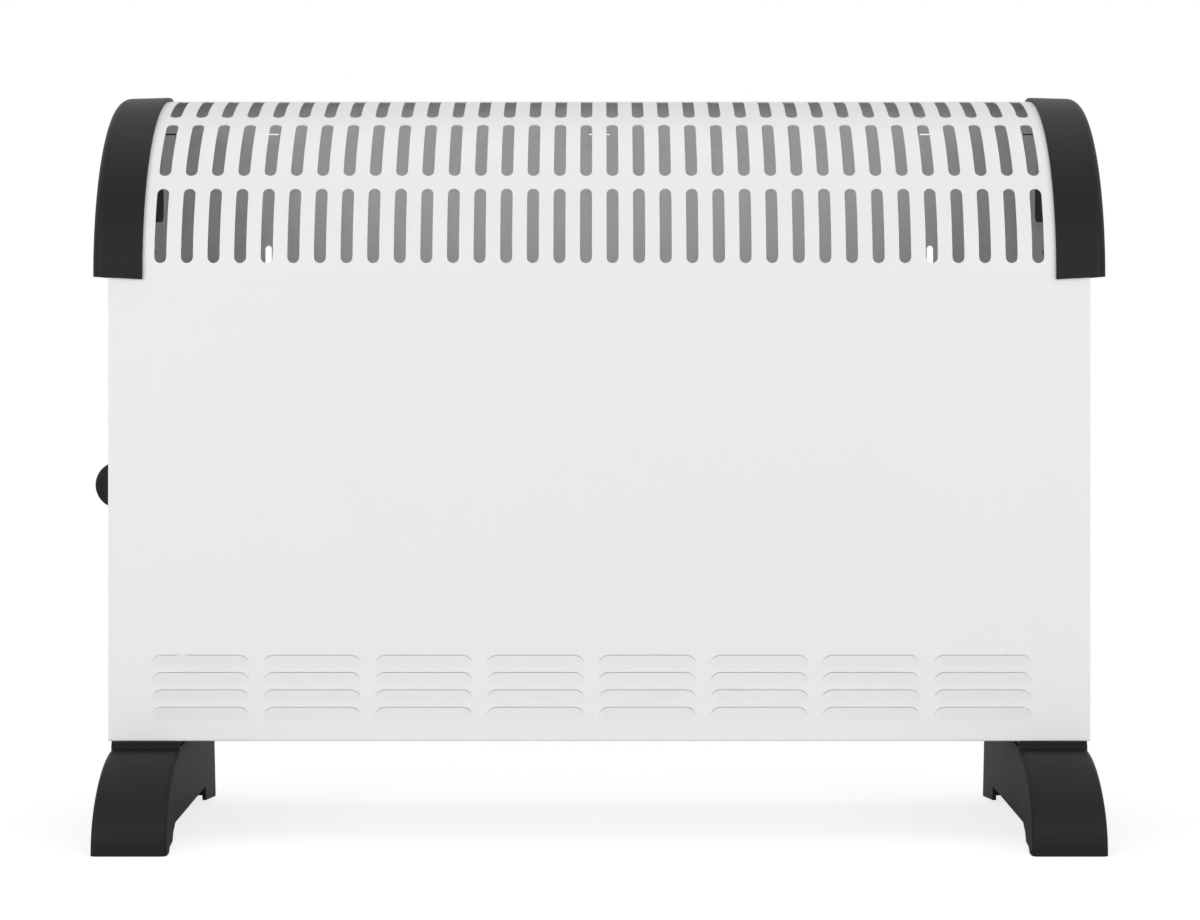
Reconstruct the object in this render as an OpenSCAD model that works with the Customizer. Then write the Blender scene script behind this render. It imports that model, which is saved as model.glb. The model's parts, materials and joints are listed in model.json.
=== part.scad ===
// Electric convector heater with a slotted curved grille, end caps, two feet and side controls.
// Millimetres. X runs to the right, Y runs to the back, Z is up. The origin is on the floor under the middle.

/* [Body] */
// Width of the front sheet
body_w = 572; // [520:2:700]
// Distance from the middle of the feet forward to the front sheet
front_reach = 42.5; // [38:0.5:48]
// Height of the body from its base to its top
body_h = 381; // [360:1:440]
// Height of the base above the floor
ground_gap = 56; // [50:1:70]
// Radius of the curve that turns the front into the top
front_r = 110; // [96:1:125]
// Length of the flat top between that curve and the rear corner
top_run = 1; // [1:0.5:20]
// Radius of the corner that turns the top into the back
rear_r = 14; // [11:0.5:14]
// Thickness of the sheet steel
sheet_t = 0.8; // [0.6:0.1:1]
// Width of the flanges that the sheets are turned in by
flange_w = 12; // [11:0.5:14]
// Clearance between two sheets that lie on each other
sheet_gap = 0.1; // [0.05:0.05:0.2]
// Height of the strip of front sheet that hangs down at the back
back_fall = 18.7; // [16:0.1:24]
// Height of the open seam below that strip
seam_h = 0.8; // [0.4:0.1:1.2]
// Width of the openings in the tongue behind the seam
seam_window_w = 13; // [8:1:20]
// Distance that a side plate stands back from the edge of the front sheet
side_inset = 0.5; // [0.2:0.1:1]

/* [Grille] */
// Distance between two slots of a row
slot_pitch = 15.5; // [14:0.1:18]
// Width of a slot
slot_w = 7; // [5:0.25:8]
// Distance from the edge of the body to the first slot, before rounding to whole slots
slot_side = 30; // [29:0.5:36]
// Number of rows of slots
slot_rows = 3; // [1:1:3]
// Angle on the curve where the lowest row starts
row_start_deg = 3.9; // [3:0.1:5]
// Angle that one slot covers on the curve
slot_deg = 24; // [18:0.5:25]
// Angle from one row of slots to the next
row_pitch_deg = 28.65; // [26:0.05:29]

/* [Louvres] */
// Width of a louvre
louvre_w = 56.5; // [40:0.5:60]
// Height of a louvre
louvre_h = 7.4; // [7:0.1:9]
// Distance between two columns of louvres
louvre_pitch = 65.1; // [62:0.1:80]
// Distance between two rows of louvres
louvre_step = 10.1; // [9.6:0.1:12]
// Number of rows of louvres
louvre_rows = 4; // [1:1:4]
// Height of the top row of louvres above the base
louvre_level = 50; // [46:1:60]
// Distance that the lip of a louvre stands off the sheet
louvre_lift = 2; // [1:0.1:2.5]
// Radius of the upper corners of a louvre
louvre_r = 6.4; // [4:0.2:6.8]
// Distance from the edge of the body to the middle of the first louvre, before rounding to whole louvres
louvre_side = 58; // [50:1:70]
// Sideways offset of the whole field of louvres
louvre_shift = -2.7; // [-6:0.1:6]

/* [End caps] */
// Width of an end cap from its inner edge to its outer face
cap_w = 29.5; // [27:0.5:34]
// Distance that an end cap stands out beyond the side of the body
cap_out = 9.5; // [9:0.5:12]
// Distance that an end cap stands proud of the sheet
cap_proud = 2.4; // [2:0.1:3]
// Radius of the outer edge of an end cap
cap_r = 9; // [7:0.5:9]
// Length of the straight tail below the curve
cap_tail = 1; // [1:0.5:8]
// Clearance between an end cap and the body
cap_gap = 0.2; // [0.1:0.05:0.3]
// Width of the finger recess
grip_w = 70; // [60:1:76]
// Height of the finger recess
grip_h = 28; // [22:1:32]
// Depth of the finger recess
grip_deep = 18; // [14:0.5:20]
// Height of the finger recess above the lower edge of the end cap
grip_level = 36; // [30:1:40]
// Distance from the middle of the finger recess back from the front sheet
grip_back = 72; // [68:1:76]

/* [Feet] */
// Width of a foot at its top
foot_w = 41; // [36:0.2:44]
// Distance that each side of a foot spreads by at the floor
foot_spread = 1.1; // [0.6:0.1:3]
// Distance from the side of the body in to the middle of a foot
foot_in = 21.4; // [20:0.2:46]
// Distance that the toe reaches ahead of the front sheet
toe_reach = 57; // [50:1:70]
// Distance that the heel reaches behind the rear panel
heel_out = 17; // [15:1:35]
// Radius of the rounded toe
toe_r = 44; // [38:1:44]
// Length of the toe that rests on the floor
toe_pad = 10; // [8:0.5:14]
// Length of the heel that rests on the floor
heel_pad = 17; // [12:0.5:20]
// Length of the whole heel
heel_w = 44; // [38:0.5:48]
// Height of the arch under the foot
arch_h = 12.8; // [10:0.2:16]
// Height of the lip between foot and body
lip_h = 5.4; // [4:0.2:6]
// Distance that the lip stands in from the foot
lip_in = 0.6; // [0.4:0.1:1]
// Thickness of the walls of a foot
foot_wall = 2.4; // [2:0.1:3]
// Thickness of the ribs in a foot
foot_rib = 1.6; // [1.2:0.1:2]

/* [Controls] */
// Height of the thermostat knob above the base
knob_level = 146.5; // [138:0.5:160]
// Distance of the thermostat knob back from the front sheet
knob_back = 50; // [46:0.5:54]
// Radius of the skirt of the knob
knob_skirt_r = 16.5; // [16:0.5:19]
// Height of the skirt of the knob
knob_skirt_h = 2.5; // [2.2:0.1:4]
// Radius of the grip of the knob
knob_grip_r = 14; // [13.5:0.1:15.5]
// Thickness of the grip of the knob
knob_grip_t = 9; // [8.6:0.2:11]
// Radius of the spindle
spindle_r = 3; // [2.5:0.1:3.2]
// Radial running clearance of the spindle in its bush
spindle_fit = 0.05; // [0.03:0.01:0.08]
// Range that the knob turns through, in degrees
knob_turn = 270; // [240:5:300]
// Height of the rocker switches above the base
switch_level = 90; // [84:1:98]
// Distance between the two rocker switches
switch_pitch = 24; // [20:0.5:28]
// Height of the frame of a rocker switch
switch_h = 21; // [20:0.5:24]
// Width of the frame of a rocker switch
switch_w = 15; // [14:0.5:17]
// Depth of a rocker switch behind the side plate
switch_deep = 20; // [18:0.5:24]
// Angle that a rocker turns through, in degrees
rocker_turn = 20; // [14:1:22]

/* [Heating] */
// Width of a mica board
board_h = 52; // [46:1:60]
// Thickness of a mica board
board_t = 1; // [0.8:0.1:1.2]
// Distance between the two mica boards
board_pitch = 34; // [30:1:40]
// Height of the middle of the mica boards above the base
board_level = 72; // [66:1:76]
// Number of turns of heating wire on a board
turns = 24; // [12:1:24]
// Radius of the heating wire
wire_r = 0.5; // [0.4:0.05:0.6]
// Depth of the notches that the wire lies in
notch_deep = 2; // [1.8:0.1:3]
// Radius of an insulated lead
lead_r = 1.3; // [1:0.1:1.5]
// Radius of the bore that the supply cord enters by
cord_r = 3.7; // [3:0.1:4]

/* [Hidden] */

// Fineness of large curves and of small ones
fine_fn = 96;
$fn = 40;
// Sides of the heating wire and of a lead
wire_sides = 6;
lead_sides = 8;
// Overrun of every cut
over = 1;

// Places of the body
body_d = front_r + top_run + rear_r;
body_front = -front_reach;
body_rear = body_front + body_d;
body_bottom = ground_gap;
body_top = ground_gap + body_h;
body_x = body_w / 2;
curve_y = body_front + front_r;
curve_z = body_top - front_r;
corner_y = body_rear - rear_r;
corner_z = body_top - rear_r;
seam_top = body_top - back_fall;
seam_bottom = seam_top - seam_h;
nest = sheet_t + sheet_gap;
side_out = body_x - side_inset;
side_in = side_out - sheet_t;
deck_z = body_bottom + nest;
deck_top = deck_z + sheet_t;
deck_x = side_out - flange_w - sheet_gap;

// Keyholes that the rear panel hangs on a wall by
keyhole_x = 207.7;
keyhole_drop = 89;
keyhole_w = 4;
keyhole_run = 14;
keyhole_r = 4.5;
keyhole_z = body_top - keyhole_drop - keyhole_w / 2 - keyhole_run;
// Tongue of the rear panel behind the seam
tongue_play = 0.5;
tongue_h = back_fall - rear_r - tongue_play;
tongue_root = 6;
tongue_x = deck_x - flange_w;

// Pattern of slots and louvres
slot_n = round((body_w - 2 * slot_side) / slot_pitch) + 1;
slot_chord = 2 * front_r * sin(slot_deg / 2);
louvre_n = round((body_w - 2 * louvre_side) / louvre_pitch) + 1;

// Screws: shank, head, recess and clearance
screw_r = 1.75;
screw_head_r = 3.4;
screw_head_h = 1.8;
screw_l = 9;
head_share = 0.8;
recess_w = 0.9;
recess_l = 3.6;
recess_deep = 1.1;
screw_play = 0.15;
rear_screw_shares = [0.07, 0.32, 0.57];
rear_screw_levels = [for (share = rear_screw_shares) body_bottom + share * body_h];
base_screw_share = 0.31;
base_screw_xs = [for (k = [-1, 0, 1]) k * base_screw_share * body_w];
flange_mid = flange_w / 2;

// Base plate air slots
vent_n = 8;
vent_rows = 3;
vent_l = 36;
vent_w = 8;
vent_pitch = 56;
vent_step = 24;

// End caps
cap_out_x = body_x + cap_out;
cap_in_x = cap_out_x - cap_w;
cap_wall = cap_proud - cap_gap;
cap_bottom = curve_z - cap_tail;
cap_reach = 2;
cap_low = cap_proud - cap_r - cap_reach;
cap_side_inset = cap_r - cap_proud + cap_reach / 2;
grip_y = body_front + grip_back;
grip_z = cap_bottom + grip_level;
grip_play = 0.5;
cap_screw_x = side_out - flange_mid;
cap_screw_rises = [18, 76];
cap_screw_levels = [for (rise = cap_screw_rises) cap_bottom + rise];

// Feet
foot_top = ground_gap - lip_h;
toe_front = body_front - toe_reach;
toe_y = toe_front + toe_r;
toe_z = foot_top - toe_r;
heel = body_rear + heel_out;
foot_x = body_x - foot_in;
arch_run = 25;
arch_run_shares = [0, 0.12, 0.54, 0.66, 1];
arch_rise_shares = [0, 0.21, 0.32, 0.65, 1];
heel_rise_share = 0.34;
foot_boss_r = 5;
foot_boss_z = 24;
foot_boss_front = 25;
foot_boss_rear = 16;
foot_boss_ys = [body_front + foot_boss_front, body_rear - foot_boss_rear];
foot_screw_r = 2;
foot_screw_head_r = 4.4;
foot_screw_head_h = 2.4;
foot_screw_end = 4;
foot_rib_rise = 4;
foot_rib_z = arch_h + foot_rib_rise;
foot_rib_shares = [0.3, 0.5, 0.72];
foot_rib_ys = [for (share = foot_rib_shares) toe_front + share * (heel - toe_front)];

// Thermostat, its spindle, nut and knob, on the left side
knob_y = body_front + knob_back;
knob_z = body_bottom + knob_level;
knob_gap = 0.4;
knob_face = side_out + knob_gap;
knob_hub_r = 9.6;
knob_hub_h = 5.6;
knob_core_r = 8.2;
knob_core_h = 3.9;
knob_fit = 0.05;
knob_edge = 1.2;
dial_marks = 10;
dial_mark_w = 0.9;
dial_mark_deep = 0.7;
dial_mark_in = 0.4;
bush_r = 5;
bush_out = 3;
nut_r = 7;
nut_t = 2.2;
bush_fit = 0.1;
stat_l = 26;
stat_w = 30;
stat_h = 36;
spindle_deep = 18;
knob_crown = 3.5;
spindle_long = knob_skirt_h + knob_grip_r - knob_crown;
spindle_flat = 0.9;

// Rocker switches
bezel_t = 2;
switch_wall = 1;
switch_z = body_bottom + switch_level;
switch_ys = [knob_y - switch_pitch / 2, knob_y + switch_pitch / 2];
switch_play = 0.2;
cavity_w = switch_w - 4 * switch_wall;
cavity_h = switch_h - 4 * switch_wall;
cavity_deep = 10;
pivot_in = 2.6;
pivot_x = side_out + bezel_t - pivot_in;
pin_r = 1;
pin_fit = 0.06;
rocker_gap = 0.3;
rocker_w = cavity_w - 2 * rocker_gap;
rocker_r = cavity_h / 2 - rocker_gap;
rocker_crown = 3.2;
rocker_keel = 2;

// Tabs that the leads push on to
tab_w = 6.3;
tab_t = 0.8;
tab_l = 7;
stat_tab_share = 0.27;
stat_tab_ys = [for (k = [-1, 0, 1]) knob_y + k * stat_tab_share * stat_w];
stat_tab_z = knob_z - stat_h / 4;
stat_back = side_in - sheet_gap - stat_l;
switch_tab_share = 0.28;
switch_tab_zs = [for (side = [-1, 1]) switch_z + side * switch_tab_share * switch_h];
switch_back = side_out - switch_deep;

// Partition, brackets and boards of the heating element
control_w = 48;
shield_x = control_w - body_x;
shield_h = 250;
shield_play = 1.2;
element_y = body_front + body_d / 2;
element_near = 12;
element_far = 30;
element_x0 = shield_x + element_near;
element_x1 = body_x - element_far;
board_z = body_bottom + board_level;
board_low = board_z - board_h / 2;
board_high = board_z + board_h / 2;
board_ys = [element_y - board_pitch / 2, element_y + board_pitch / 2];
board_over = 4;
board_fit = 0.12;
winding_side = 22;
winding_x0 = element_x0 + winding_side;
turn_pitch = (element_x1 - winding_side - winding_x0) / turns;
middle_x = winding_x0 + floor(turns / 2) * turn_pitch;
notch_play = 0.6;
notch_w = 2 * wire_r + notch_play;
wire_gap = 0.2;
wire_off = board_t / 2 + wire_r + wire_gap;
wire_high = board_high - notch_deep + wire_r + wire_gap / 2;
wire_low = board_low + notch_deep - wire_r - wire_gap / 2;
wire_bend = 0.6;
wire_samples = 6;
wire_skip = 7;
wire_reach = 36;
bracket_t = 1;
bracket_side = 13;
bracket_w = board_pitch + 2 * bracket_side;
bracket_foot = 12;
bracket_slit = 4;
bracket_bore = 3;
end_bracket_share = 0.72;
rivet_r = 1.6;
rivet_head_r = 3;
rivet_head_t = 0.8;
rivet_fit = 0.05;
rivet_side = 10;
joint_gap = 0.05;
terminal_xs = [winding_x0 - rivet_side, winding_x0 + turns * turn_pitch + rivet_side];
lead_gap = 0.15;
lead_off = board_t / 2 + lead_r + lead_gap;
bus_drop = 8;
bus_z = board_low - bus_drop;

// Ceramic bushes in the partition
bush_play = 0.3;
bush_bore = lead_r + bush_play;
bush_body_r = 3.6;
bush_rim_r = 5;
bush_rim_t = 1.6;
bush_level = 30;
bush_places = [
    [board_ys[0] - lead_off, board_z],
    [board_ys[1] - lead_off, board_z],
    [element_y, body_bottom + bush_level]
];

// Thermal cut-out on the partition, and fuse in the return lead
cutout_rise = 36;
cutout_z = board_high + cutout_rise;
cutout_r = 8;
cutout_h = 8;
cutout_ear = 13;
cutout_ear_w = 8;
cutout_ear_t = 1;
cutout_tab_y = 4;
fuse_r = 2.4;
fuse_l = 16;
fuse_in = 50;
fuse_x = winding_x0 + fuse_in;

// Terminal block, gland and earth screw
block_l = 28;
block_w = 16;
block_h = 14;
block_pitch = 9;
block_x = (shield_x - body_x) / 2;
block_ways = 3;
block_xs = [for (x = spread(block_ways, block_pitch)) block_x + x];
block_back = 36;
block_y = body_rear - block_back;
block_play = 0.6;
block_bore = lead_r + block_play;
block_screw_r = 1.5;
block_screw_play = 0.1;
block_front = block_y - block_w / 2;
block_mid = deck_top + block_h / 2;
gland_level = 34;
gland_z = body_bottom + gland_level;
gland_r = 6.5;
gland_rim_r = 9;
gland_rim_t = 3;
gland_snap_r = 7.4;
gland_long = 9;
earth_run = 25;
earth_y = block_front - earth_run;
earth_r = 2;
earth_head_r = 4;
earth_head_h = 2.6;

// Lanes that the leads keep to, and their bends
lead_bend = 5;
bend_share = 0.45;
stat_tab_end = -stat_back + tab_l;
switch_tab_end = -switch_back + tab_l;
lane_near_off = 9;
lane_far_off = 6;
lane_low_off = 6;
lane_near = shield_x - lane_near_off;
lane_far = shield_x - lane_far_off;
lane_rear_off = 7;
lane_rear_y = board_ys[1] + lane_rear_off;
lane_low_y = block_front - lane_low_off;

// Turns an outline drawn in Y and Z into a prism along X
module along_x(x, length) {
    translate([x, 0, 0])
        rotate([90, 0, 90])
            linear_extrude(height = length)
                children();
}

// Turns an outline drawn in X and Z into a prism along Y
module along_y(y, length) {
    translate([0, y + length, 0])
        rotate([90, 0, 0])
            linear_extrude(height = length)
                children();
}

// A rod along X, along Y or along Z, from its lower end
module rod_x(place, r, length) {
    translate(place) rotate([0, 90, 0]) cylinder(h = length, r = r);
}

module rod_y(place, r, length) {
    translate(place) rotate([-90, 0, 0]) cylinder(h = length, r = r);
}

module rod_z(place, r, length) {
    translate(place) cylinder(h = length, r = r);
}

// A block given by its lowest and highest corners
module block(low, high) {
    translate(low) cube(high - low);
}

// The other side of the heater
module other_side() {
    mirror([1, 0, 0]) children();
}

// A pan-head screw that points up, with a cross recess
module screw(r, head_r, head_h, length) {
    difference() {
        union() {
            rod_z([0, 0, 0], r, length);
            translate([0, 0, -head_h]) cylinder(h = head_h, r1 = head_share * head_r, r2 = head_r);
        }
        for (turn = [0, 90])
            rotate([0, 0, turn])
                translate([-recess_l / 2, -recess_w / 2, -head_h - over])
                    cube([recess_l, recess_w, recess_deep + over]);
    }
}

// Side outline of the body, drawn in from the outer face of the sheets
module body_profile(inset) {
    translate([body_front + inset, body_bottom + inset])
        square([body_d - 2 * inset, curve_z - body_bottom - inset]);
    intersection() {
        translate([curve_y, curve_z]) circle(r = front_r - inset, $fn = fine_fn);
        translate([body_front, curve_z]) square([front_r, front_r]);
    }
    translate([curve_y, curve_z]) square([body_rear - inset - curve_y, corner_z - curve_z]);
    translate([curve_y, corner_z]) square([corner_y - curve_y, rear_r - inset]);
    intersection() {
        translate([corner_y, corner_z]) circle(r = rear_r - inset, $fn = fine_fn);
        translate([corner_y, corner_z]) square([rear_r, rear_r]);
    }
}

// A bent strip between two depths below the outer face
module sheet_ring(outer, inner) {
    difference() {
        body_profile(outer);
        body_profile(inner);
    }
}

// Centre positions of a row of n things
function spread(n, pitch) = [for (i = [0:n - 1]) (i - (n - 1) / 2) * pitch];

// Copies the children to every slot of the grille
module slot_places() {
    for (row = [0:slot_rows - 1])
        translate([0, curve_y, curve_z])
            rotate([-(row_start_deg + slot_deg / 2 + row * row_pitch_deg), 0, 0])
                for (x = spread(slot_n, slot_pitch))
                    translate([x, 0, 0])
                        children();
}

// A slot with round ends, as the cutter that makes it
module slot_cutter() {
    along_y(-front_r - over, over + front_r * (1 - cos(slot_deg / 2)) + sheet_t + over) {
        square([slot_w, slot_chord - slot_w], center = true);
        for (side = [-1, 1])
            translate([0, side * (slot_chord - slot_w) / 2]) circle(r = slot_w / 2);
    }
}

// Copies the children to every louvre
module louvre_places() {
    for (row = [0:louvre_rows - 1], x = spread(louvre_n, louvre_pitch))
        translate([x + louvre_shift, body_front, body_bottom + louvre_level - louvre_h - row * louvre_step])
            children();
}

// Front outline of a louvre, with two round upper corners
module louvre_outline(w, h, r) {
    translate([-w / 2, 0]) square([w, h - r]);
    translate([r - w / 2, 0]) square([w - 2 * r, h]);
    for (side = [-1, 1])
        translate([side * (w / 2 - r), h - r]) circle(r = r);
}

// The pressed hood, which leans out of the sheet towards its upper lip
module louvre_hood() {
    intersection() {
        along_y(-louvre_lift, louvre_lift + sheet_t) louvre_outline(louvre_w, louvre_h, louvre_r);
        along_x(-louvre_w / 2, louvre_w)
            polygon([[sheet_t, 0], [0, 0], [-louvre_lift, louvre_h], [sheet_t, louvre_h]]);
    }
}

// The air way behind the hood, open at the upper lip
module louvre_way() {
    way_w = louvre_w - 2 * sheet_t;
    intersection() {
        along_y(-louvre_lift, louvre_lift + sheet_t + over) {
            translate([0, sheet_t])
                louvre_outline(way_w, louvre_h - sheet_t, louvre_r - sheet_t);
            translate([louvre_r - louvre_w / 2, louvre_h / 2])
                square([louvre_w - 2 * louvre_r, louvre_h]);
        }
        along_x(-way_w / 2, way_w)
            polygon([
                [sheet_t, 0],
                [sheet_t - 2 * louvre_lift, 2 * louvre_h],
                [0, 2 * louvre_h],
                [0, louvre_h],
                [sheet_t + over, louvre_h],
                [sheet_t + over, 0]
            ]);
    }
}

// The front, curve, top and rear strip, bent from one sheet
module front_panel() {
    color("#ebebeb")
    difference() {
        union() {
            along_x(-body_x, body_w)
                difference() {
                    sheet_ring(0, sheet_t);
                    translate([body_front + flange_w, body_bottom - over])
                        square([body_d, flange_w]);
                    translate([corner_y, body_bottom - over])
                        square([rear_r + over, seam_top - body_bottom + over]);
                }
            louvre_places() louvre_hood();
        }
        louvre_places() louvre_way();
        slot_places() slot_cutter();
        for (x = base_screw_xs)
            rod_z([x, body_front + flange_mid, body_bottom - over], screw_r + screw_play, 2 * over);
    }
}

// Outline of a keyhole, drawn in X and Z around the centre of its round part
module keyhole() {
    circle(r = keyhole_r);
    translate([-keyhole_w / 2, 0]) square([keyhole_w, keyhole_run]);
    translate([0, keyhole_run]) circle(r = keyhole_w / 2);
}

// The flat back, with a tongue behind the seam and two keyholes
module rear_panel() {
    color("#e6e6e6")
    difference() {
        union() {
            block([-body_x, body_rear - sheet_t, body_bottom], [body_x, body_rear, seam_bottom]);
            block([-deck_x, body_rear - flange_w, body_bottom], [deck_x, body_rear, body_bottom + sheet_t]);
            block(
                [-tongue_x, body_rear - sheet_t - nest, seam_bottom - tongue_root],
                [tongue_x, body_rear - nest, seam_top + tongue_h]);
            block(
                [-tongue_x, body_rear - nest - sheet_gap, seam_bottom - tongue_root],
                [tongue_x, body_rear - sheet_t / 2, seam_bottom]);
        }
        for (x = [-keyhole_x, 0, keyhole_x])
            translate([x - seam_window_w / 2, body_rear - sheet_t - nest - over, seam_bottom])
                cube([seam_window_w, flange_w, tongue_h + seam_h + over]);
        for (x = [-keyhole_x, keyhole_x])
            translate([x, 0, keyhole_z])
                along_y(body_rear - sheet_t - over, sheet_t + 2 * over) keyhole();
        for (side = [-1, 1], z = concat(rear_screw_levels, cap_screw_levels))
            rod_y([side * cap_screw_x, body_rear - 2 * sheet_t, z], screw_r + screw_play, 2 * over + sheet_t);
        for (x = base_screw_xs)
            rod_z([x, body_rear - flange_mid, body_bottom - over], screw_r + screw_play, 2 * over);
        rod_y([block_x, body_rear - sheet_t - over, gland_z], gland_r + sheet_gap, sheet_t + 2 * over);
    }
}

// A side plate for the right, with a flange all round and an opening for the finger recess
module side_plate() {
    difference() {
        union() {
            along_x(side_in, sheet_t) body_profile(nest);
            along_x(side_out - flange_w, flange_w - sheet_t / 2) sheet_ring(nest, nest + sheet_t);
        }
        translate([0, grip_y, grip_z])
            block(
                [side_in - over, -grip_w / 2 - cap_wall - grip_play, -cap_wall - grip_play],
                [side_out + over, grip_w / 2 + cap_wall + grip_play, grip_h + cap_wall + grip_play]);
        for (z = concat(rear_screw_levels, cap_screw_levels))
            rod_y([cap_screw_x, body_rear - nest - 2 * sheet_t, z], screw_r + screw_play / 2, nest + 2 * sheet_t);
    }
}

module right_side_plate() {
    color("#e8e8e8") side_plate();
}

// The left side plate, which also carries the controls
module left_side_plate() {
    color("#e8e8e8")
    difference() {
        other_side() side_plate();
        rod_x([-side_out - over, knob_y, knob_z], bush_r + bush_fit, sheet_t + 2 * over);
        for (y = switch_ys)
            translate([-side_out, y, switch_z])
                block(
                    [-over, switch_wall - switch_play - switch_w / 2, switch_wall - switch_play - switch_h / 2],
                    [sheet_t + over, switch_w / 2 - switch_wall + switch_play,
                        switch_h / 2 - switch_wall + switch_play]);
    }
}

// The bottom, with slots for the air and holes for the feet
module base_plate() {
    color("#c9ccce")
    difference() {
        block([-deck_x, body_front + nest, deck_z], [deck_x, body_rear - nest, deck_top]);
        for (x = spread(vent_n, vent_pitch), y = spread(vent_rows, vent_step))
            translate([middle_x + x, element_y + y, deck_z - over])
                linear_extrude(height = sheet_t + 2 * over) {
                    square([vent_l - vent_w, vent_w], center = true);
                    for (side = [-1, 1])
                        translate([side * (vent_l - vent_w) / 2, 0]) circle(r = vent_w / 2);
                }
        for (side = [-1, 1], y = foot_boss_ys)
            rod_z([side * foot_x, y, deck_z - over], foot_screw_r + screw_play / 2, sheet_t + 2 * over);
        for (x = base_screw_xs, y = [body_front + flange_mid, body_rear - flange_mid])
            rod_z([x, y, deck_z - over], screw_r + screw_play / 2, sheet_t + 2 * over);
        rod_z([block_x + block_pitch, earth_y, deck_z - over], earth_r + screw_play / 2, sheet_t + 2 * over);
    }
}

// Section of an end cap before it is hollow: X is the height over the sheet, Y the distance from the middle
module cap_corner(inset, run) {
    translate([cap_low, cap_in_x - run])
        square([cap_proud - inset - cap_low, cap_w - cap_r + run]);
    intersection() {
        translate([cap_proud - cap_r, cap_out_x - cap_r]) circle(r = cap_r - inset);
        translate([cap_low, cap_out_x - cap_r]) square([cap_proud - cap_low, cap_r]);
    }
    translate([cap_low, cap_in_x - run])
        square([cap_proud - cap_r - cap_low, cap_w - inset + run]);
}

// Section of an end cap, a wall that turns from the band into the outer face
module cap_section() {
    difference() {
        cap_corner(0, 0);
        cap_corner(cap_wall, over);
    }
}

// Carries a section round a corner of the body, from one angle over a quarter turn
module round_corner(y, z, r, start) {
    translate([0, y, z])
        rotate([90, 0, 90])
            rotate([0, 0, start])
                rotate_extrude(angle = 90, $fn = fine_fn)
                    translate([r, 0])
                        children();
}

// A right end cap, a moulded shell over the curve with a finger recess in its outer face
module end_cap() {
    color("#303030")
    difference() {
        union() {
            round_corner(curve_y, curve_z, front_r, 90) cap_section();
            round_corner(corner_y, corner_z, rear_r, 0) cap_section();
            translate([0, corner_y, body_top])
                rotate([90, 0, 0])
                    linear_extrude(height = corner_y - curve_y)
                        mirror([1, -1, 0]) cap_section();
            translate([0, body_front, cap_bottom])
                linear_extrude(height = cap_tail)
                    rotate(-90) cap_section();
            translate([0, body_rear, cap_bottom])
                linear_extrude(height = corner_z - cap_bottom)
                    mirror([1, -1, 0]) cap_section();
            along_x(cap_out_x - cap_wall, cap_wall)
                intersection() {
                    body_profile(cap_side_inset);
                    translate([body_front, cap_bottom]) square([body_d, body_h]);
                }
            cap_floor();
            translate([0, grip_y, grip_z])
                block(
                    [cap_out_x - grip_deep - cap_wall, -grip_w / 2 - cap_wall, -cap_wall],
                    [cap_out_x - cap_wall / 2, grip_w / 2 + cap_wall, grip_h + cap_wall]);
        }
        translate([0, grip_y, grip_z])
            block([cap_out_x - grip_deep, -grip_w / 2, 0], [cap_out_x + over, grip_w / 2, grip_h]);
        for (z = cap_screw_levels)
            rod_y([cap_screw_x, body_rear, z], screw_r + screw_play, cap_proud + over);
    }
}

// The floor that closes an end cap outside the body
module cap_floor() {
    translate([0, 0, cap_bottom])
        linear_extrude(height = cap_wall)
            difference() {
                union() {
                    translate([0, body_front]) rotate(-90) cap_corner(cap_wall / 2, 0);
                    translate([0, body_rear]) mirror([1, -1, 0]) cap_corner(cap_wall / 2, 0);
                    translate([cap_in_x, body_front - cap_low])
                        square([cap_w - cap_wall / 2, body_d + 2 * cap_low]);
                }
                translate([cap_in_x - over, body_front - cap_gap])
                    square([body_x + cap_gap - cap_in_x + over, body_d + 2 * cap_gap]);
            }
}

module right_end_cap() {
    end_cap();
}

module left_end_cap() {
    other_side() end_cap();
}

// Side outline of a foot, drawn in by the thickness of its wall
module foot_outline(inset) {
    intersection() {
        translate([toe_y, toe_z]) circle(r = toe_r - inset, $fn = fine_fn);
        translate([toe_front, toe_z]) square([toe_r, toe_r]);
    }
    translate([toe_front + inset, -inset]) square([toe_r - inset, toe_z + inset]);
    translate([toe_y, -inset]) square([heel - inset - toe_y, foot_top]);
}

// Outline of the arch between toe and heel
module foot_arch() {
    toe_end = toe_front + toe_pad;
    heel_start = heel - heel_w;
    polygon(concat(
        [[toe_end, -over]],
        [for (i = [0:len(arch_run_shares) - 1])
            [toe_end + arch_run_shares[i] * arch_run, arch_rise_shares[i] * arch_h]],
        [
            [heel_start, arch_h],
            [heel_start, heel_rise_share * arch_h],
            [heel - heel_pad, 0],
            [heel - heel_pad, -over]
        ]
    ));
}

// The tapering block that gives a foot its sides
module foot_sides(inset) {
    low = foot_w / 2 + foot_spread - inset;
    high = foot_w / 2 - inset;
    slope = (low - high) / foot_top;
    along_y(toe_front - over, heel - toe_front + 2 * over)
        polygon([
            [-low - slope * over, -over],
            [low + slope * over, -over],
            [high, foot_top],
            [-high, foot_top]
        ]);
}

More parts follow.
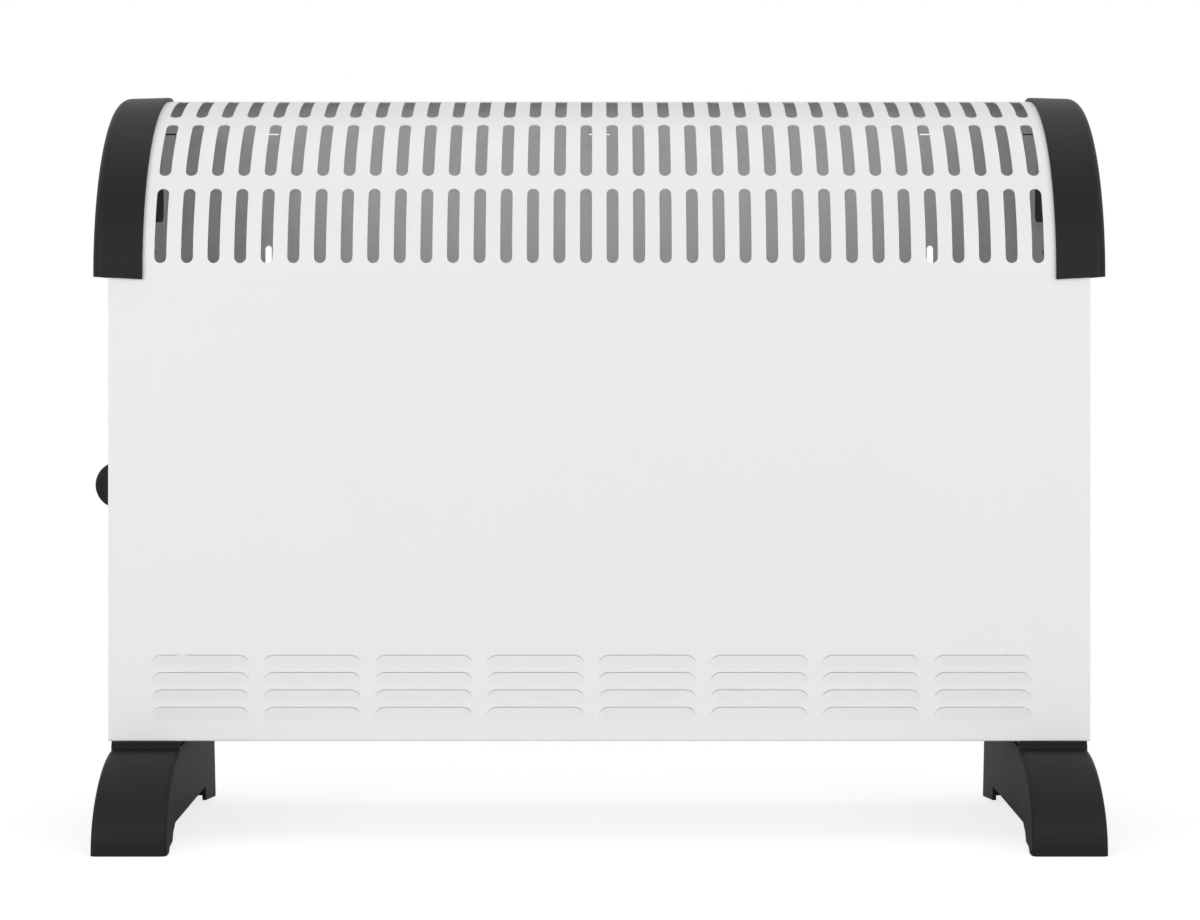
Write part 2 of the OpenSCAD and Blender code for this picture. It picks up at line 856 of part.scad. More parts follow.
// A right foot, a moulded shell with ribs, two bosses and a lip that meets the base
module foot() {
    color("#2e2e2e")
    translate([foot_x, 0, 0])
    difference() {
        union() {
            intersection() {
                along_x(-foot_w, 2 * foot_w)
                    difference() {
                        foot_outline(0);
                        foot_arch();
                    }
                foot_sides(0);
            }
            block([lip_in - foot_w / 2, body_front, foot_top - foot_wall], [foot_w / 2 - lip_in, body_rear, ground_gap]);
        }
        difference() {
            intersection() {
                along_x(-foot_w, 2 * foot_w) foot_outline(foot_wall);
                foot_sides(foot_wall);
            }
            for (y = foot_rib_ys)
                block([-foot_w, y - foot_rib / 2, foot_rib_z], [foot_w, y + foot_rib / 2, foot_top]);
            block([-foot_rib / 2, foot_boss_ys[0], foot_boss_z], [foot_rib / 2, foot_boss_ys[1], foot_top]);
            for (y = foot_boss_ys)
                rod_z([0, y, foot_boss_z], foot_boss_r, foot_top);
        }
        difference() {
            block(
                [lip_in + foot_wall - foot_w / 2, body_front + foot_wall, foot_top],
                [foot_w / 2 - lip_in - foot_wall, body_rear - foot_wall, ground_gap + over]);
            for (y = foot_boss_ys)
                rod_z([0, y, foot_boss_z], foot_boss_r, ground_gap + over);
        }
        for (y = foot_boss_ys)
            rod_z([0, y, 0], foot_screw_r + screw_play, ground_gap + over);
    }
}

module right_foot() {
    foot();
}

module left_foot() {
    other_side() foot();
}

// Four long screws that hold the feet to the base plate
module foot_screws() {
    color("#b8bcc0")
    for (side = [-1, 1], y = foot_boss_ys)
        translate([side * foot_x, y, foot_boss_z])
            screw(foot_screw_r, foot_screw_head_r, foot_screw_head_h, deck_top + foot_screw_end - foot_boss_z);
}

// A screw that goes in from the back
module screw_from_rear(x, y, z) {
    translate([x, y, z]) rotate([90, 0, 0]) screw(screw_r, screw_head_r, screw_head_h, screw_l);
}

module cap_screws() {
    color("#b8bcc0")
    for (side = [-1, 1], z = cap_screw_levels)
        screw_from_rear(side * cap_screw_x, body_rear + cap_proud, z);
}

module rear_screws() {
    color("#b8bcc0")
    for (side = [-1, 1], z = rear_screw_levels)
        screw_from_rear(side * cap_screw_x, body_rear, z);
}

// Screws that hold the flanges of front and rear to the base plate
module base_screws() {
    color("#b8bcc0")
    for (x = base_screw_xs, y = [body_front + flange_mid, body_rear - flange_mid])
        translate([x, y, body_bottom]) screw(screw_r, screw_head_r, screw_head_h, screw_l);
}

// The partition between the controls and the heating element
module heat_shield() {
    color("#b9bdc1")
    difference() {
        union() {
            block(
                [shield_x, body_front + nest + shield_play, deck_top],
                [shield_x + sheet_t, body_rear - nest - shield_play, deck_top + shield_h]);
            block(
                [shield_x, body_front + nest + shield_play, deck_top],
                [shield_x + flange_w, body_rear - nest - shield_play, deck_top + sheet_t]);
        }
        for (place = bush_places)
            rod_x([shield_x - over, place[0], place[1]], bush_body_r + bush_fit, sheet_t + 2 * over);
        for (side = [-1, 1])
            rod_x([shield_x - over, element_y + side * cutout_ear, cutout_z], rivet_r + rivet_fit, sheet_t + 2 * over);
    }
}

// A bracket that stands on the base plate and holds both mica boards upright in its slits
module element_bracket(x, height, foot_side) {
    color("#b9bdc1")
    difference() {
        union() {
            block([x, element_y - bracket_w / 2, deck_top], [x + bracket_t, element_y + bracket_w / 2, height]);
            block(
                [min(x, x + foot_side * bracket_foot), element_y - bracket_w / 2, deck_top],
                [max(x + bracket_t, x + foot_side * bracket_foot), element_y + bracket_w / 2, deck_top + bracket_t]);
        }
        for (y = board_ys)
            block(
                [x - over, y - board_t / 2 - board_fit, board_low - board_fit],
                [x + bracket_t + over, y + board_t / 2 + board_fit, board_high]);
        rod_x([x - over, element_y, bus_z], bracket_bore, bracket_t + 2 * over);
        for (y = board_ys, side = [-1, 1])
            rod_x([x - over, y + side * lead_off, board_z], lead_r + board_fit, bracket_t + 2 * over);
        along_x(x - over, bracket_t + 2 * over)
            for (side = [-1, 1])
                translate([element_y + side * bracket_w / 4, (deck_top + board_low) / 2])
                    square([bracket_w / 5, (board_low - deck_top) / 2], center = true);
    }
}

module element_bracket_left() {
    element_bracket(element_x0, board_low + end_bracket_share * board_h, 1);
}

module element_bracket_middle() {
    element_bracket(middle_x - bracket_t / 2, board_low + bracket_slit, 1);
}

module element_bracket_right() {
    element_bracket(element_x1, board_low + end_bracket_share * board_h, -1);
}

// A mica board with notches along both edges
module mica_board(y) {
    color("#b79a62")
    difference() {
        block(
            [element_x0 - board_over, y - board_t / 2, board_low],
            [element_x1 + bracket_t + board_over, y + board_t / 2, board_high]);
        for (k = [0:turns])
            translate([winding_x0 + k * turn_pitch - notch_w / 2, y - board_t, board_high - notch_deep])
                cube([notch_w, 2 * board_t, notch_deep + over]);
        for (k = [0:turns - 1])
            translate([winding_x0 + (k + 0.5) * turn_pitch - notch_w / 2, y - board_t, board_low - over])
                cube([notch_w, 2 * board_t, notch_deep + over]);
        for (x = terminal_xs)
            rod_y([x, y - board_t, board_z], rivet_r + rivet_fit, 2 * board_t);
    }
}

module mica_board_front() {
    mica_board(board_ys[0]);
}

module mica_board_rear() {
    mica_board(board_ys[1]);
}

// Rivets that hold the wire ends to the boards
module element_terminals() {
    color("#8f9499")
    for (x = terminal_xs, y = board_ys)
        translate([x, y, board_z]) {
            rod_y([0, -board_t / 2 - rivet_head_t, 0], rivet_r, board_t + 2 * rivet_head_t);
            for (side = [-1, 1])
                rod_y([0, side * (board_t + rivet_head_t) / 2 - rivet_head_t / 2, 0], rivet_head_r, rivet_head_t);
        }
}

// Direction from one point to another
function toward(a, b) = (b - a) / norm(b - a);

// A point on the arc that eases a bend, at a share t of it
function eased(a, p, b, t) = (1 - t) * (1 - t) * a + 2 * t * (1 - t) * p + t * t * b;

// A path with every inner corner eased over a length, in a number of steps
function eased_path(path, bend, steps) = concat(
    [path[0]],
    [for (i = [1:len(path) - 2], s = [0:steps])
        let (
            before = min(bend, bend_share * norm(path[i - 1] - path[i])),
            after = min(bend, bend_share * norm(path[i + 1] - path[i])))
        eased(
            path[i] + before * toward(path[i], path[i - 1]),
            path[i],
            path[i] + after * toward(path[i], path[i + 1]),
            s / steps)],
    [path[len(path) - 1]]
);

// Directions of a path at its points
function tangents(path) = [for (i = [0:len(path) - 1])
    i == 0 ? toward(path[0], path[1])
    : i == len(path) - 1 ? toward(path[i - 1], path[i])
    : toward([0, 0, 0], toward(path[i - 1], path[i]) + toward(path[i], path[i + 1]))];

// A direction square to t, as near to n as can be
function squared(n, t) = toward([0, 0, 0], n - (n * t) * t);

// Directions square to the path that turn with it and never twist
function carried(t, n, i = 0) = i == len(t) ? [] :
    let (now = squared(n, t[i])) concat([now], carried(t, now, i + 1));

// A solid tube along a path
module tube(path, r, sides) {
    t = tangents(path);
    first = abs(t[0][2]) < 0.9 ? [0, 0, 1] : [0, 1, 0];
    n = carried(t, first);
    rings = len(path);
    points = [for (i = [0:rings - 1], k = [0:sides - 1])
        path[i] + r * (cos(360 * k / sides) * n[i] + sin(360 * k / sides) * cross(t[i], n[i]))];
    faces = concat(
        [[for (k = [0:sides - 1]) k]],
        [for (i = [0:rings - 2], k = [0:sides - 1])
            let (a = i * sides + k, b = i * sides + (k + 1) % sides)
            [a, a + sides, b]],
        [for (i = [0:rings - 2], k = [0:sides - 1])
            let (a = i * sides + k, b = i * sides + (k + 1) % sides)
            [b, a + sides, b + sides]],
        [[for (k = [0:sides - 1]) rings * sides - 1 - k]]
    );
    polyhedron(points = points, faces = faces);
}

// Corner points of the wire that is stitched round a board
function stitches(y) = concat(
    [[terminal_xs[0] + rivet_head_r + wire_r + joint_gap, y - wire_off, board_z]],
    [for (k = [0:turns - 1], corner = [0:3])
        [winding_x0 + (k + [0, 0.5, 0.5, 1][corner]) * turn_pitch,
            y + (corner < 2 ? -1 : 1) * wire_off,
            corner == 0 || corner == 3 ? wire_high : wire_low]],
    [[terminal_xs[1] - rivet_head_r - wire_r - joint_gap, y + wire_off, board_z]]
);

// Points spread along a path, a number of them to each stretch
function sampled(path, steps) = [for (i = [0:len(path) - 2], s = [0:steps - 1])
    path[i] + s / steps * (path[i + 1] - path[i])];

// Least gap between turns of a winding, measured between points that lie at least skip apart
function least_gap(points, skip, reach) = min([for (i = [0:len(points) - 1 - skip])
    min([for (j = [i + skip:min(i + reach, len(points) - 1)]) norm(points[i] - points[j])])]) - 2 * wire_r;

// The stitched wire, one unbroken length
module heating_wire(y) {
    corners = stitches(y);
    echo(wire_least_gap = least_gap(sampled(corners, wire_samples), wire_skip, wire_reach));
    color("#7a6a58") tube(eased_path(corners, wire_bend, 1), wire_r, wire_sides);
}

module heating_wire_front() {
    heating_wire(board_ys[0]);
}

module heating_wire_rear() {
    heating_wire(board_ys[1]);
}

// Bushes that take the leads through the partition
module ceramic_bushes() {
    color("#e9e2d2")
    for (place = bush_places)
        translate([shield_x, place[0], place[1]])
            difference() {
                union() {
                    rod_x([-bush_rim_t, 0, 0], bush_body_r, 2 * bush_rim_t + sheet_t);
                    rod_x([-bush_rim_t, 0, 0], bush_rim_r, bush_rim_t);
                    rod_x([sheet_t, 0, 0], bush_body_r + bush_fit, bush_rim_t);
                }
                rod_x([-bush_rim_t - over, 0, 0], bush_bore, 2 * bush_rim_t + sheet_t + 2 * over);
            }
}

// The disc that breaks the circuit when the air gets too hot
module thermal_cutout() {
    color("#3a2f2a")
    translate([shield_x + sheet_t, element_y, cutout_z])
        difference() {
            union() {
                rod_x([0, 0, 0], cutout_r, cutout_h);
                block(
                    [0, -cutout_ear - cutout_ear_w / 2, -cutout_ear_w / 2],
                    [cutout_ear_t, cutout_ear + cutout_ear_w / 2, cutout_ear_w / 2]);
                for (side = [-1, 1])
                    block(
                        [cutout_h / 2, side * cutout_tab_y - tab_t / 2, -tab_w / 2],
                        [cutout_h + tab_l, side * cutout_tab_y + tab_t / 2, tab_w / 2]);
            }
            for (side = [-1, 1])
                rod_x([-over, side * cutout_ear, 0], rivet_r + rivet_fit, cutout_ear_t + 2 * over);
        }
}

module cutout_rivets() {
    color("#8f9499")
    for (side = [-1, 1])
        translate([shield_x, element_y + side * cutout_ear, cutout_z]) {
            rod_x([-rivet_head_t, 0, 0], rivet_r, sheet_t + cutout_ear_t + 2 * rivet_head_t);
            rod_x([-rivet_head_t, 0, 0], rivet_head_r, rivet_head_t);
            rod_x([sheet_t + cutout_ear_t, 0, 0], rivet_head_r, rivet_head_t);
        }
}

// One-time fuse in the return lead
module thermal_fuse() {
    color("#d9c7a0") rod_x([fuse_x, element_y, bus_z], fuse_r, fuse_l);
}

// The thermostat, with its threaded bush through the side plate
module thermostat() {
    color("#d8d2c4")
    translate([0, knob_y, knob_z])
        difference() {
            union() {
                block([-side_in + sheet_gap, -stat_w / 2, -stat_h / 2], [-stat_back, stat_w / 2, stat_h / 2]);
                rod_x([-side_out - bush_out, 0, 0], bush_r, bush_out + sheet_t + over);
            }
            rod_x([-side_out - bush_out - over, 0, 0], spindle_r + spindle_fit, bush_out + spindle_deep + over);
            block(
                [-stat_back - stat_l / 2, -stat_w / 2 - over, stat_h / 5],
                [-stat_back + over, stat_w / 2 + over, stat_h / 5 + sheet_t]);
        }
}

// The turning spindle, flattened where the knob grips it
module thermostat_spindle() {
    flat_from = knob_face + knob_core_h;
    color("#c2a45a")
    translate([0, knob_y, knob_z])
        difference() {
            rod_x([-knob_face - spindle_long, 0, 0], spindle_r, spindle_long + knob_gap + spindle_deep - joint_gap);
            block(
                [-knob_face - spindle_long - over, spindle_r - spindle_flat, -spindle_r - over],
                [-flat_from, spindle_r + over, spindle_r + over]);
        }
}

module thermostat_nut() {
    color("#b8bcc0")
    translate([-side_out - nut_t, knob_y, knob_z])
        rotate([0, 90, 0])
            difference() {
                cylinder(h = nut_t, r = nut_r, $fn = 6);
                translate([0, 0, -over]) cylinder(h = nut_t + 2 * over, r = bush_r + joint_gap);
            }
}

// The knob: a round skirt with marks round its edge, a hub, and a half-disc grip, upright when off
module thermostat_knob() {
    color("#262626")
    translate([-knob_face, knob_y, knob_z])
        difference() {
            union() {
                rotate([0, -90, 0]) cylinder(h = knob_skirt_h - knob_edge, r = knob_skirt_r);
                translate([-knob_skirt_h + knob_edge, 0, 0])
                    rotate([0, -90, 0]) cylinder(h = knob_edge, r1 = knob_skirt_r, r2 = knob_skirt_r - knob_edge);
                rotate([0, -90, 0]) cylinder(h = knob_hub_h, r = knob_hub_r);
                intersection() {
                    translate([-knob_skirt_h, -knob_grip_t / 2, 0])
                        rotate([-90, 0, 0]) cylinder(h = knob_grip_t, r = knob_grip_r, $fn = fine_fn);
                    block(
                        [-knob_skirt_h - knob_grip_r - over, -knob_grip_t, -knob_grip_r - over],
                        [-knob_skirt_h / 2, knob_grip_t, knob_grip_r + over]);
                }
            }
            rotate([0, -90, 0]) translate([0, 0, -over]) cylinder(h = knob_core_h + over, r = knob_core_r);
            for (k = [0:dial_marks - 1])
                rotate([-k * knob_turn / (dial_marks - 1), 0, 0])
                    block(
                        [-knob_skirt_h - over, -dial_mark_w / 2, knob_grip_r + dial_mark_in],
                        [dial_mark_deep - knob_skirt_h, dial_mark_w / 2, knob_skirt_r + over]);
            difference() {
                rod_x([-spindle_long - knob_gap, 0, 0], spindle_r + knob_fit, spindle_long);
                block(
                    [-spindle_long - over, spindle_r - spindle_flat + knob_fit, -spindle_r - over],
                    [-knob_core_h, spindle_r + over, spindle_r + over]);
            }
        }
}

// The moulded case of a rocker switch, with bores for the pins of its rocker
module switch_housing(y) {
    color("#1f1f1f")
    translate([0, y, switch_z])
        difference() {
            union() {
                block([-side_out - bezel_t, -switch_w / 2, -switch_h / 2], [-side_out, switch_w / 2, switch_h / 2]);
                block(
                    [-side_out - bezel_t / 2, switch_wall - switch_w / 2, switch_wall - switch_h / 2],
                    [-switch_back, switch_w / 2 - switch_wall, switch_h / 2 - switch_wall]);
            }
            block(
                [-side_out - bezel_t - over, -cavity_w / 2, -cavity_h / 2],
                [-side_out - bezel_t + cavity_deep, cavity_w / 2, cavity_h / 2]);
            rod_y([-pivot_x, -cavity_w / 2 - switch_wall, 0], pin_r + pin_fit, cavity_w + 2 * switch_wall);
        }
}

module front_switch_housing() {
    switch_housing(switch_ys[0]);
}

module rear_switch_housing() {
    switch_housing(switch_ys[1]);
}

// A rocker tilted to off, with a shallow V face, round ends and two pins
module rocker(y) {
    rise = rocker_r * tan(rocker_turn / 2);
    color("#3a3a3a")
    translate([-pivot_x, y, switch_z])
        rotate([0, -rocker_turn / 2, 0]) {
            rotate([0, -90, 0])
                translate([0, rocker_w / 2, 0])
                    rotate([90, 0, 0])
                        linear_extrude(height = rocker_w)
                            intersection() {
                                circle(r = rocker_r);
                                polygon([
                                    [-rocker_r, -rocker_keel],
                                    [rocker_r, -rocker_keel],
                                    [rocker_r, rocker_crown + rise],
                                    [0, rocker_crown],
                                    [-rocker_r, rocker_crown + rise]
                                ]);
                            }
            rod_y([0, -cavity_w / 2 - switch_wall / 2, 0], pin_r, cavity_w + switch_wall);
        }
}

module front_rocker() {
    rocker(switch_ys[0]);
}

module rear_rocker() {
    rocker(switch_ys[1]);
}

// The tabs of the thermostat and of both switches
module control_tabs() {
    color("#c2a45a") {
        for (y = stat_tab_ys)
            block([-stat_back, y - tab_t / 2, stat_tab_z - tab_w / 2], [-stat_back + tab_l, y + tab_t / 2, stat_tab_z + tab_w / 2]);
        for (y = switch_ys, z = switch_tab_zs)
            block([-switch_back, y - tab_w / 2, z - tab_t / 2], [-switch_back + tab_l, y + tab_w / 2, z + tab_t / 2]);
    }
}

// The block that joins the supply to the leads, with three ways
module terminal_block() {
    color("#ded9cc")
    difference() {
        block(
            [block_x - block_l / 2, block_y - block_w / 2, deck_top],
            [block_x + block_l / 2, block_y + block_w / 2, deck_top + block_h]);
        for (x = block_xs) {
            rod_y([x, block_y - block_w / 2 - over, block_mid], block_bore, block_w + 2 * over);
            rod_z([x, block_y, block_mid], block_screw_r + block_screw_play, block_h);
        }
    }
}

module terminal_screws() {
    color("#c2a45a")
    for (x = block_xs)
        rod_z([x, block_y, block_mid + block_bore / 2], block_screw_r, block_h / 2 - block_bore / 2 - over);
}

// The bush in the rear panel that the supply cord enters by
module cord_gland() {
    color("#262626")
    difference() {
        union() {
            rod_y([block_x, body_rear, gland_z], gland_rim_r, gland_rim_t);
            rod_y([block_x, body_rear - gland_long, gland_z], gland_r, gland_long + over);
            rod_y([block_x, body_rear - sheet_t - sheet_gap - gland_rim_t, gland_z], gland_snap_r, gland_rim_t);
        }
        rod_y([block_x, body_rear - gland_long - over, gland_z], cord_r, gland_long + gland_rim_t + 2 * over);
    }
}

module earth_screw() {
    color("#b8bcc0")
    translate([block_xs[2], earth_y, deck_top]) {
        rod_z([0, 0, -screw_l / 2], earth_r, screw_l / 2);
        rod_z([0, 0, 0], earth_head_r, earth_head_h);
    }
}

// A lead along a route, with eased bends
module lead(route) {
    tube(eased_path(route, lead_bend, 2), lead_r, lead_sides);
}

// Supply to thermostat, thermostat to both switches, and each switch to its board
module leads_live() {
    color("#8a5a34") {
        lead([
            [block_xs[0], block_front, block_mid],
            [block_xs[0], lane_low_y, block_mid],
            [lane_near, lane_low_y, block_mid + block_h],
            [lane_near, lane_rear_y, block_mid + 2 * block_h],
            [lane_near, lane_rear_y, stat_tab_z],
            [lane_near, stat_tab_ys[2], stat_tab_z],
            [stat_tab_end, stat_tab_ys[2], stat_tab_z]
        ]);
        for (k = [0, 1])
            lead([
                [stat_tab_end, stat_tab_ys[k], stat_tab_z],
                [lane_far, stat_tab_ys[k], stat_tab_z],
                [lane_far, switch_ys[k], (stat_tab_z + switch_tab_zs[1]) / 2],
                [lane_far, switch_ys[k], switch_tab_zs[1]],
                [switch_tab_end, switch_ys[k], switch_tab_zs[1]]
            ]);
        for (k = [0, 1])
            lead([
                [switch_tab_end, switch_ys[k], switch_tab_zs[0]],
                [lane_near, switch_ys[k], switch_tab_zs[0]],
                [lane_near, bush_places[k][0], board_z],
                [terminal_xs[0] - rivet_head_r - joint_gap, bush_places[k][0], board_z]
            ]);
    }
}

// The return, from the far ends of both boards through fuse and cut-out to the supply
module leads_neutral() {
    cutout_end = shield_x + sheet_t + cutout_h + tab_l;
    riser_x = shield_x + sheet_t + bush_rim_t + lead_bend;
    far_x = terminal_xs[1] + 2 * rivet_head_r;
    color("#4a6a9a") {
        lead([
            [block_xs[1], block_front, block_mid],
            [block_xs[1], block_front - 2 * lead_bend, block_mid],
            [block_xs[1], element_y, bush_places[2][1]],
            [riser_x, element_y, bush_places[2][1]],
            [riser_x, element_y, cutout_z - cutout_r - 2 * lead_bend],
            [cutout_end + lead_bend, element_y - cutout_tab_y, cutout_z - cutout_r - lead_bend],
            [cutout_end + lead_bend, element_y - cutout_tab_y, cutout_z],
            [cutout_end, element_y - cutout_tab_y, cutout_z]
        ]);
        lead([
            [cutout_end, element_y + cutout_tab_y, cutout_z],
            [cutout_end + lead_bend, element_y + cutout_tab_y, cutout_z],
            [cutout_end + lead_bend, element_y + cutout_tab_y, bus_z],
            [cutout_end + 4 * lead_bend, element_y, bus_z],
            [fuse_x, element_y, bus_z]
        ]);
        lead([
            [fuse_x + fuse_l, element_y, bus_z],
            [far_x, element_y, bus_z],
            [far_x, board_ys[1] + 2 * lead_bend, bus_z],
            [far_x, board_ys[1] + 2 * lead_bend, board_z],
            [terminal_xs[1], board_ys[1] + 2 * lead_bend, board_z],
            [terminal_xs[1], board_ys[1] + board_t / 2 + rivet_head_t + joint_gap, board_z]
        ]);
        tube([
            [terminal_xs[1], board_ys[0] + board_t / 2 + rivet_head_t + joint_gap, board_z],
            [terminal_xs[1], board_ys[1] - board_t / 2 - rivet_head_t - joint_gap, board_z]
        ], lead_r, lead_sides);
    }
}

module lead_earth() {
    low = deck_top + lead_r + joint_gap;
    color("#6f9a4a")
    lead([
        [block_xs[2], block_front, block_mid],
        [block_xs[2], block_front - lead_bend, block_mid],
        [block_xs[2], block_front - 2 * lead_bend, low],
        [block_xs[2], earth_y + earth_head_r + joint_gap, low]
    ]);
}

front_panel();
rear_panel();
left_side_plate();
right_side_plate();
base_plate();
left_end_cap();
right_end_cap();
left_foot();
right_foot();
foot_screws();
cap_screws();
rear_screws();
base_screws();
heat_shield();
element_bracket_left();
element_bracket_middle();
element_bracket_right();
mica_board_front();
mica_board_rear();
heating_wire_front();
heating_wire_rear();
element_terminals();
ceramic_bushes();
thermal_cutout();
cutout_rivets();
thermal_fuse();
thermostat();
thermostat_spindle();
thermostat_nut();
thermostat_knob();
front_switch_housing();
rear_switch_housing();
front_rocker();
rear_rocker();
control_tabs();
terminal_block();
terminal_screws();
cord_gland();
leads_live();
leads_neutral();
lead_earth();
earth_screw();
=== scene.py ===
"""Electric convector heater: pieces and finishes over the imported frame, in a plain studio. All in metres."""
import json
import logging
import math
from dataclasses import dataclass, field
from enum import Enum
from typing import Callable, Iterable, Sequence

import bpy
from mathutils import Matrix, Vector
from mathutils.geometry import delaunay_2d_cdt

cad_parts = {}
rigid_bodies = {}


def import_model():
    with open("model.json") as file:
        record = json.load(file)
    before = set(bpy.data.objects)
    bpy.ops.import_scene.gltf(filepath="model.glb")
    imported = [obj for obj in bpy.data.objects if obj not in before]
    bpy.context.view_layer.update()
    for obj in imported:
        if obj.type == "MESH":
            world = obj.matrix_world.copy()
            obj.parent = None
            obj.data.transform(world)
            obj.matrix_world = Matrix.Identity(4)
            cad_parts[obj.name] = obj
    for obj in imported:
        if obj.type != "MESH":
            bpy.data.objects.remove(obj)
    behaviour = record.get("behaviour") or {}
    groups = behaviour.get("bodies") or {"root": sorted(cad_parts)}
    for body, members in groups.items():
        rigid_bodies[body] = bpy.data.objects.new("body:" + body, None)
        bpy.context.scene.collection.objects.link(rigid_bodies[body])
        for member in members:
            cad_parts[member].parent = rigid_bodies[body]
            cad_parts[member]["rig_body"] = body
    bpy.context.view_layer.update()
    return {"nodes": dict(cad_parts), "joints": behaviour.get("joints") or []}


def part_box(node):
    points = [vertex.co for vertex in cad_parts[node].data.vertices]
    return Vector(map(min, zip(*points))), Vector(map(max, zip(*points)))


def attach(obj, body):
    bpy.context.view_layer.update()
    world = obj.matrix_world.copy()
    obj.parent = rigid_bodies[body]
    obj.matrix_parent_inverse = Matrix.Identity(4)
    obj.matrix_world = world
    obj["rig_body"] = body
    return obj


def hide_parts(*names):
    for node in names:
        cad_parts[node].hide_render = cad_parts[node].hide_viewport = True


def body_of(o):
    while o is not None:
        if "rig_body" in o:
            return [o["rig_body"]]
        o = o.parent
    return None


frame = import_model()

LOG = logging.getLogger("heater")
Point = tuple[float, float, float]
Flat = tuple[float, float]
Box = tuple[float, float, float, float]
WELD = 0.00002
TOUCH = 1e-7
SHARP_DEG = 38.0
SOFT_DEG = 40.0
FLAT_DEG = 1.0
QUARTER = math.pi / 2


class Value:
    """A socket of a node tree, on which operators add Math nodes."""

    def __init__(self, tree: "Tree", socket: bpy.types.NodeSocket) -> None:
        """Keeps the tree and its output socket."""
        self.tree = tree
        self.socket = socket

    def math(self, operation: str, *others: "Value | float") -> "Value":
        """Adds a Math node on this value and the other operands."""
        return self.tree.add("ShaderNodeMath", {"operation": operation}, dict(enumerate((self, *others))))

    def __add__(self, other: "Value | float") -> "Value":
        """Sum."""
        return self.math("ADD", other)

    __radd__ = __add__

    def __sub__(self, other: "Value | float") -> "Value":
        """Difference."""
        return self.math("SUBTRACT", other)

    def __rsub__(self, other: float) -> "Value":
        """Difference with a number in front."""
        return self.tree.add("ShaderNodeMath", {"operation": "SUBTRACT"}, {0: other, 1: self})

    def __mul__(self, other: "Value | float") -> "Value":
        """Product."""
        return self.math("MULTIPLY", other)

    __rmul__ = __mul__

    def __truediv__(self, other: "Value | float") -> "Value":
        """Quotient."""
        return self.math("DIVIDE", other)

    def __rtruediv__(self, other: float) -> "Value":
        """Quotient with a number in front."""
        return self.tree.add("ShaderNodeMath", {"operation": "DIVIDE"}, {0: other, 1: self})

    def sin(self) -> "Value":
        """Sine."""
        return self.math("SINE")

    def cos(self) -> "Value":
        """Cosine."""
        return self.math("COSINE")

    def at_least(self, low: "Value | float") -> "Value":
        """The larger of this and a bound."""
        return self.math("MAXIMUM", low)

    def at_most(self, high: "Value | float") -> "Value":
        """The smaller of this and a bound."""
        return self.math("MINIMUM", high)

    def between(self, low: "Value | float", high: "Value | float") -> "Value":
        """This value held between two bounds."""
        return self.at_least(low).at_most(high)


class Tree:
    """A node tree with one method that adds any node."""

    def __init__(self, tree: bpy.types.NodeTree) -> None:
        """Keeps a tree and empties it."""
        self.tree = tree
        tree.nodes.clear()

    def add(
        self, kind: str, settings: dict | None = None, sockets: dict | None = None, out: int | str = 0
    ) -> Value:
        """Adds a node, makes its settings first and then fills its sockets.

        Args:
            kind: The node's type.
            settings: Properties by name.
            sockets: Values or links by socket name or index.
            out: The output that is returned.

        Returns:
            The chosen output.
        """
        node = self.tree.nodes.new(kind)
        for name, value in (settings or {}).items():
            setattr(node, name, value)
        for key, value in (sockets or {}).items():
            if isinstance(value, Value):
                self.tree.links.new(value.socket, node.inputs[key])
            else:
                node.inputs[key].default_value = value
        return Value(self, node.outputs[out] if len(node.outputs) else None)

    def mix(self, share: Value | float, first: object, second: object) -> Value:
        """Mixes two colours or links, by the share of the second one."""
        return self.add("ShaderNodeMix", {"data_type": "RGBA"}, {0: share, 6: first, 7: second}, out=2)

    def noise(self, place: Value, scale: float, detail: float) -> Value:
        """Adds noise from 0 to 1, with so many features to a metre and so many octaves of detail."""
        return self.add("ShaderNodeTexNoise", None, {"Vector": place, "Scale": scale, "Detail": detail})

    def cells(self, place: Value, scale: float) -> Value:
        """Adds cells of random tones from 0 to 1, so many to a metre."""
        color = self.add("ShaderNodeTexVoronoi", None, {"Vector": place, "Scale": scale}, out="Color")
        return self.add("ShaderNodeSeparateColor", None, {"Color": color})


def shade(color: Point, factor: float) -> tuple[float, float, float, float]:
    """A colour made lighter or darker by a factor, with full alpha."""
    return (*(min(1.0, c * factor) for c in color), 1.0)


def grey(level: float) -> tuple[float, float, float, float]:
    """A grey with full alpha."""
    return (level, level, level, 1.0)


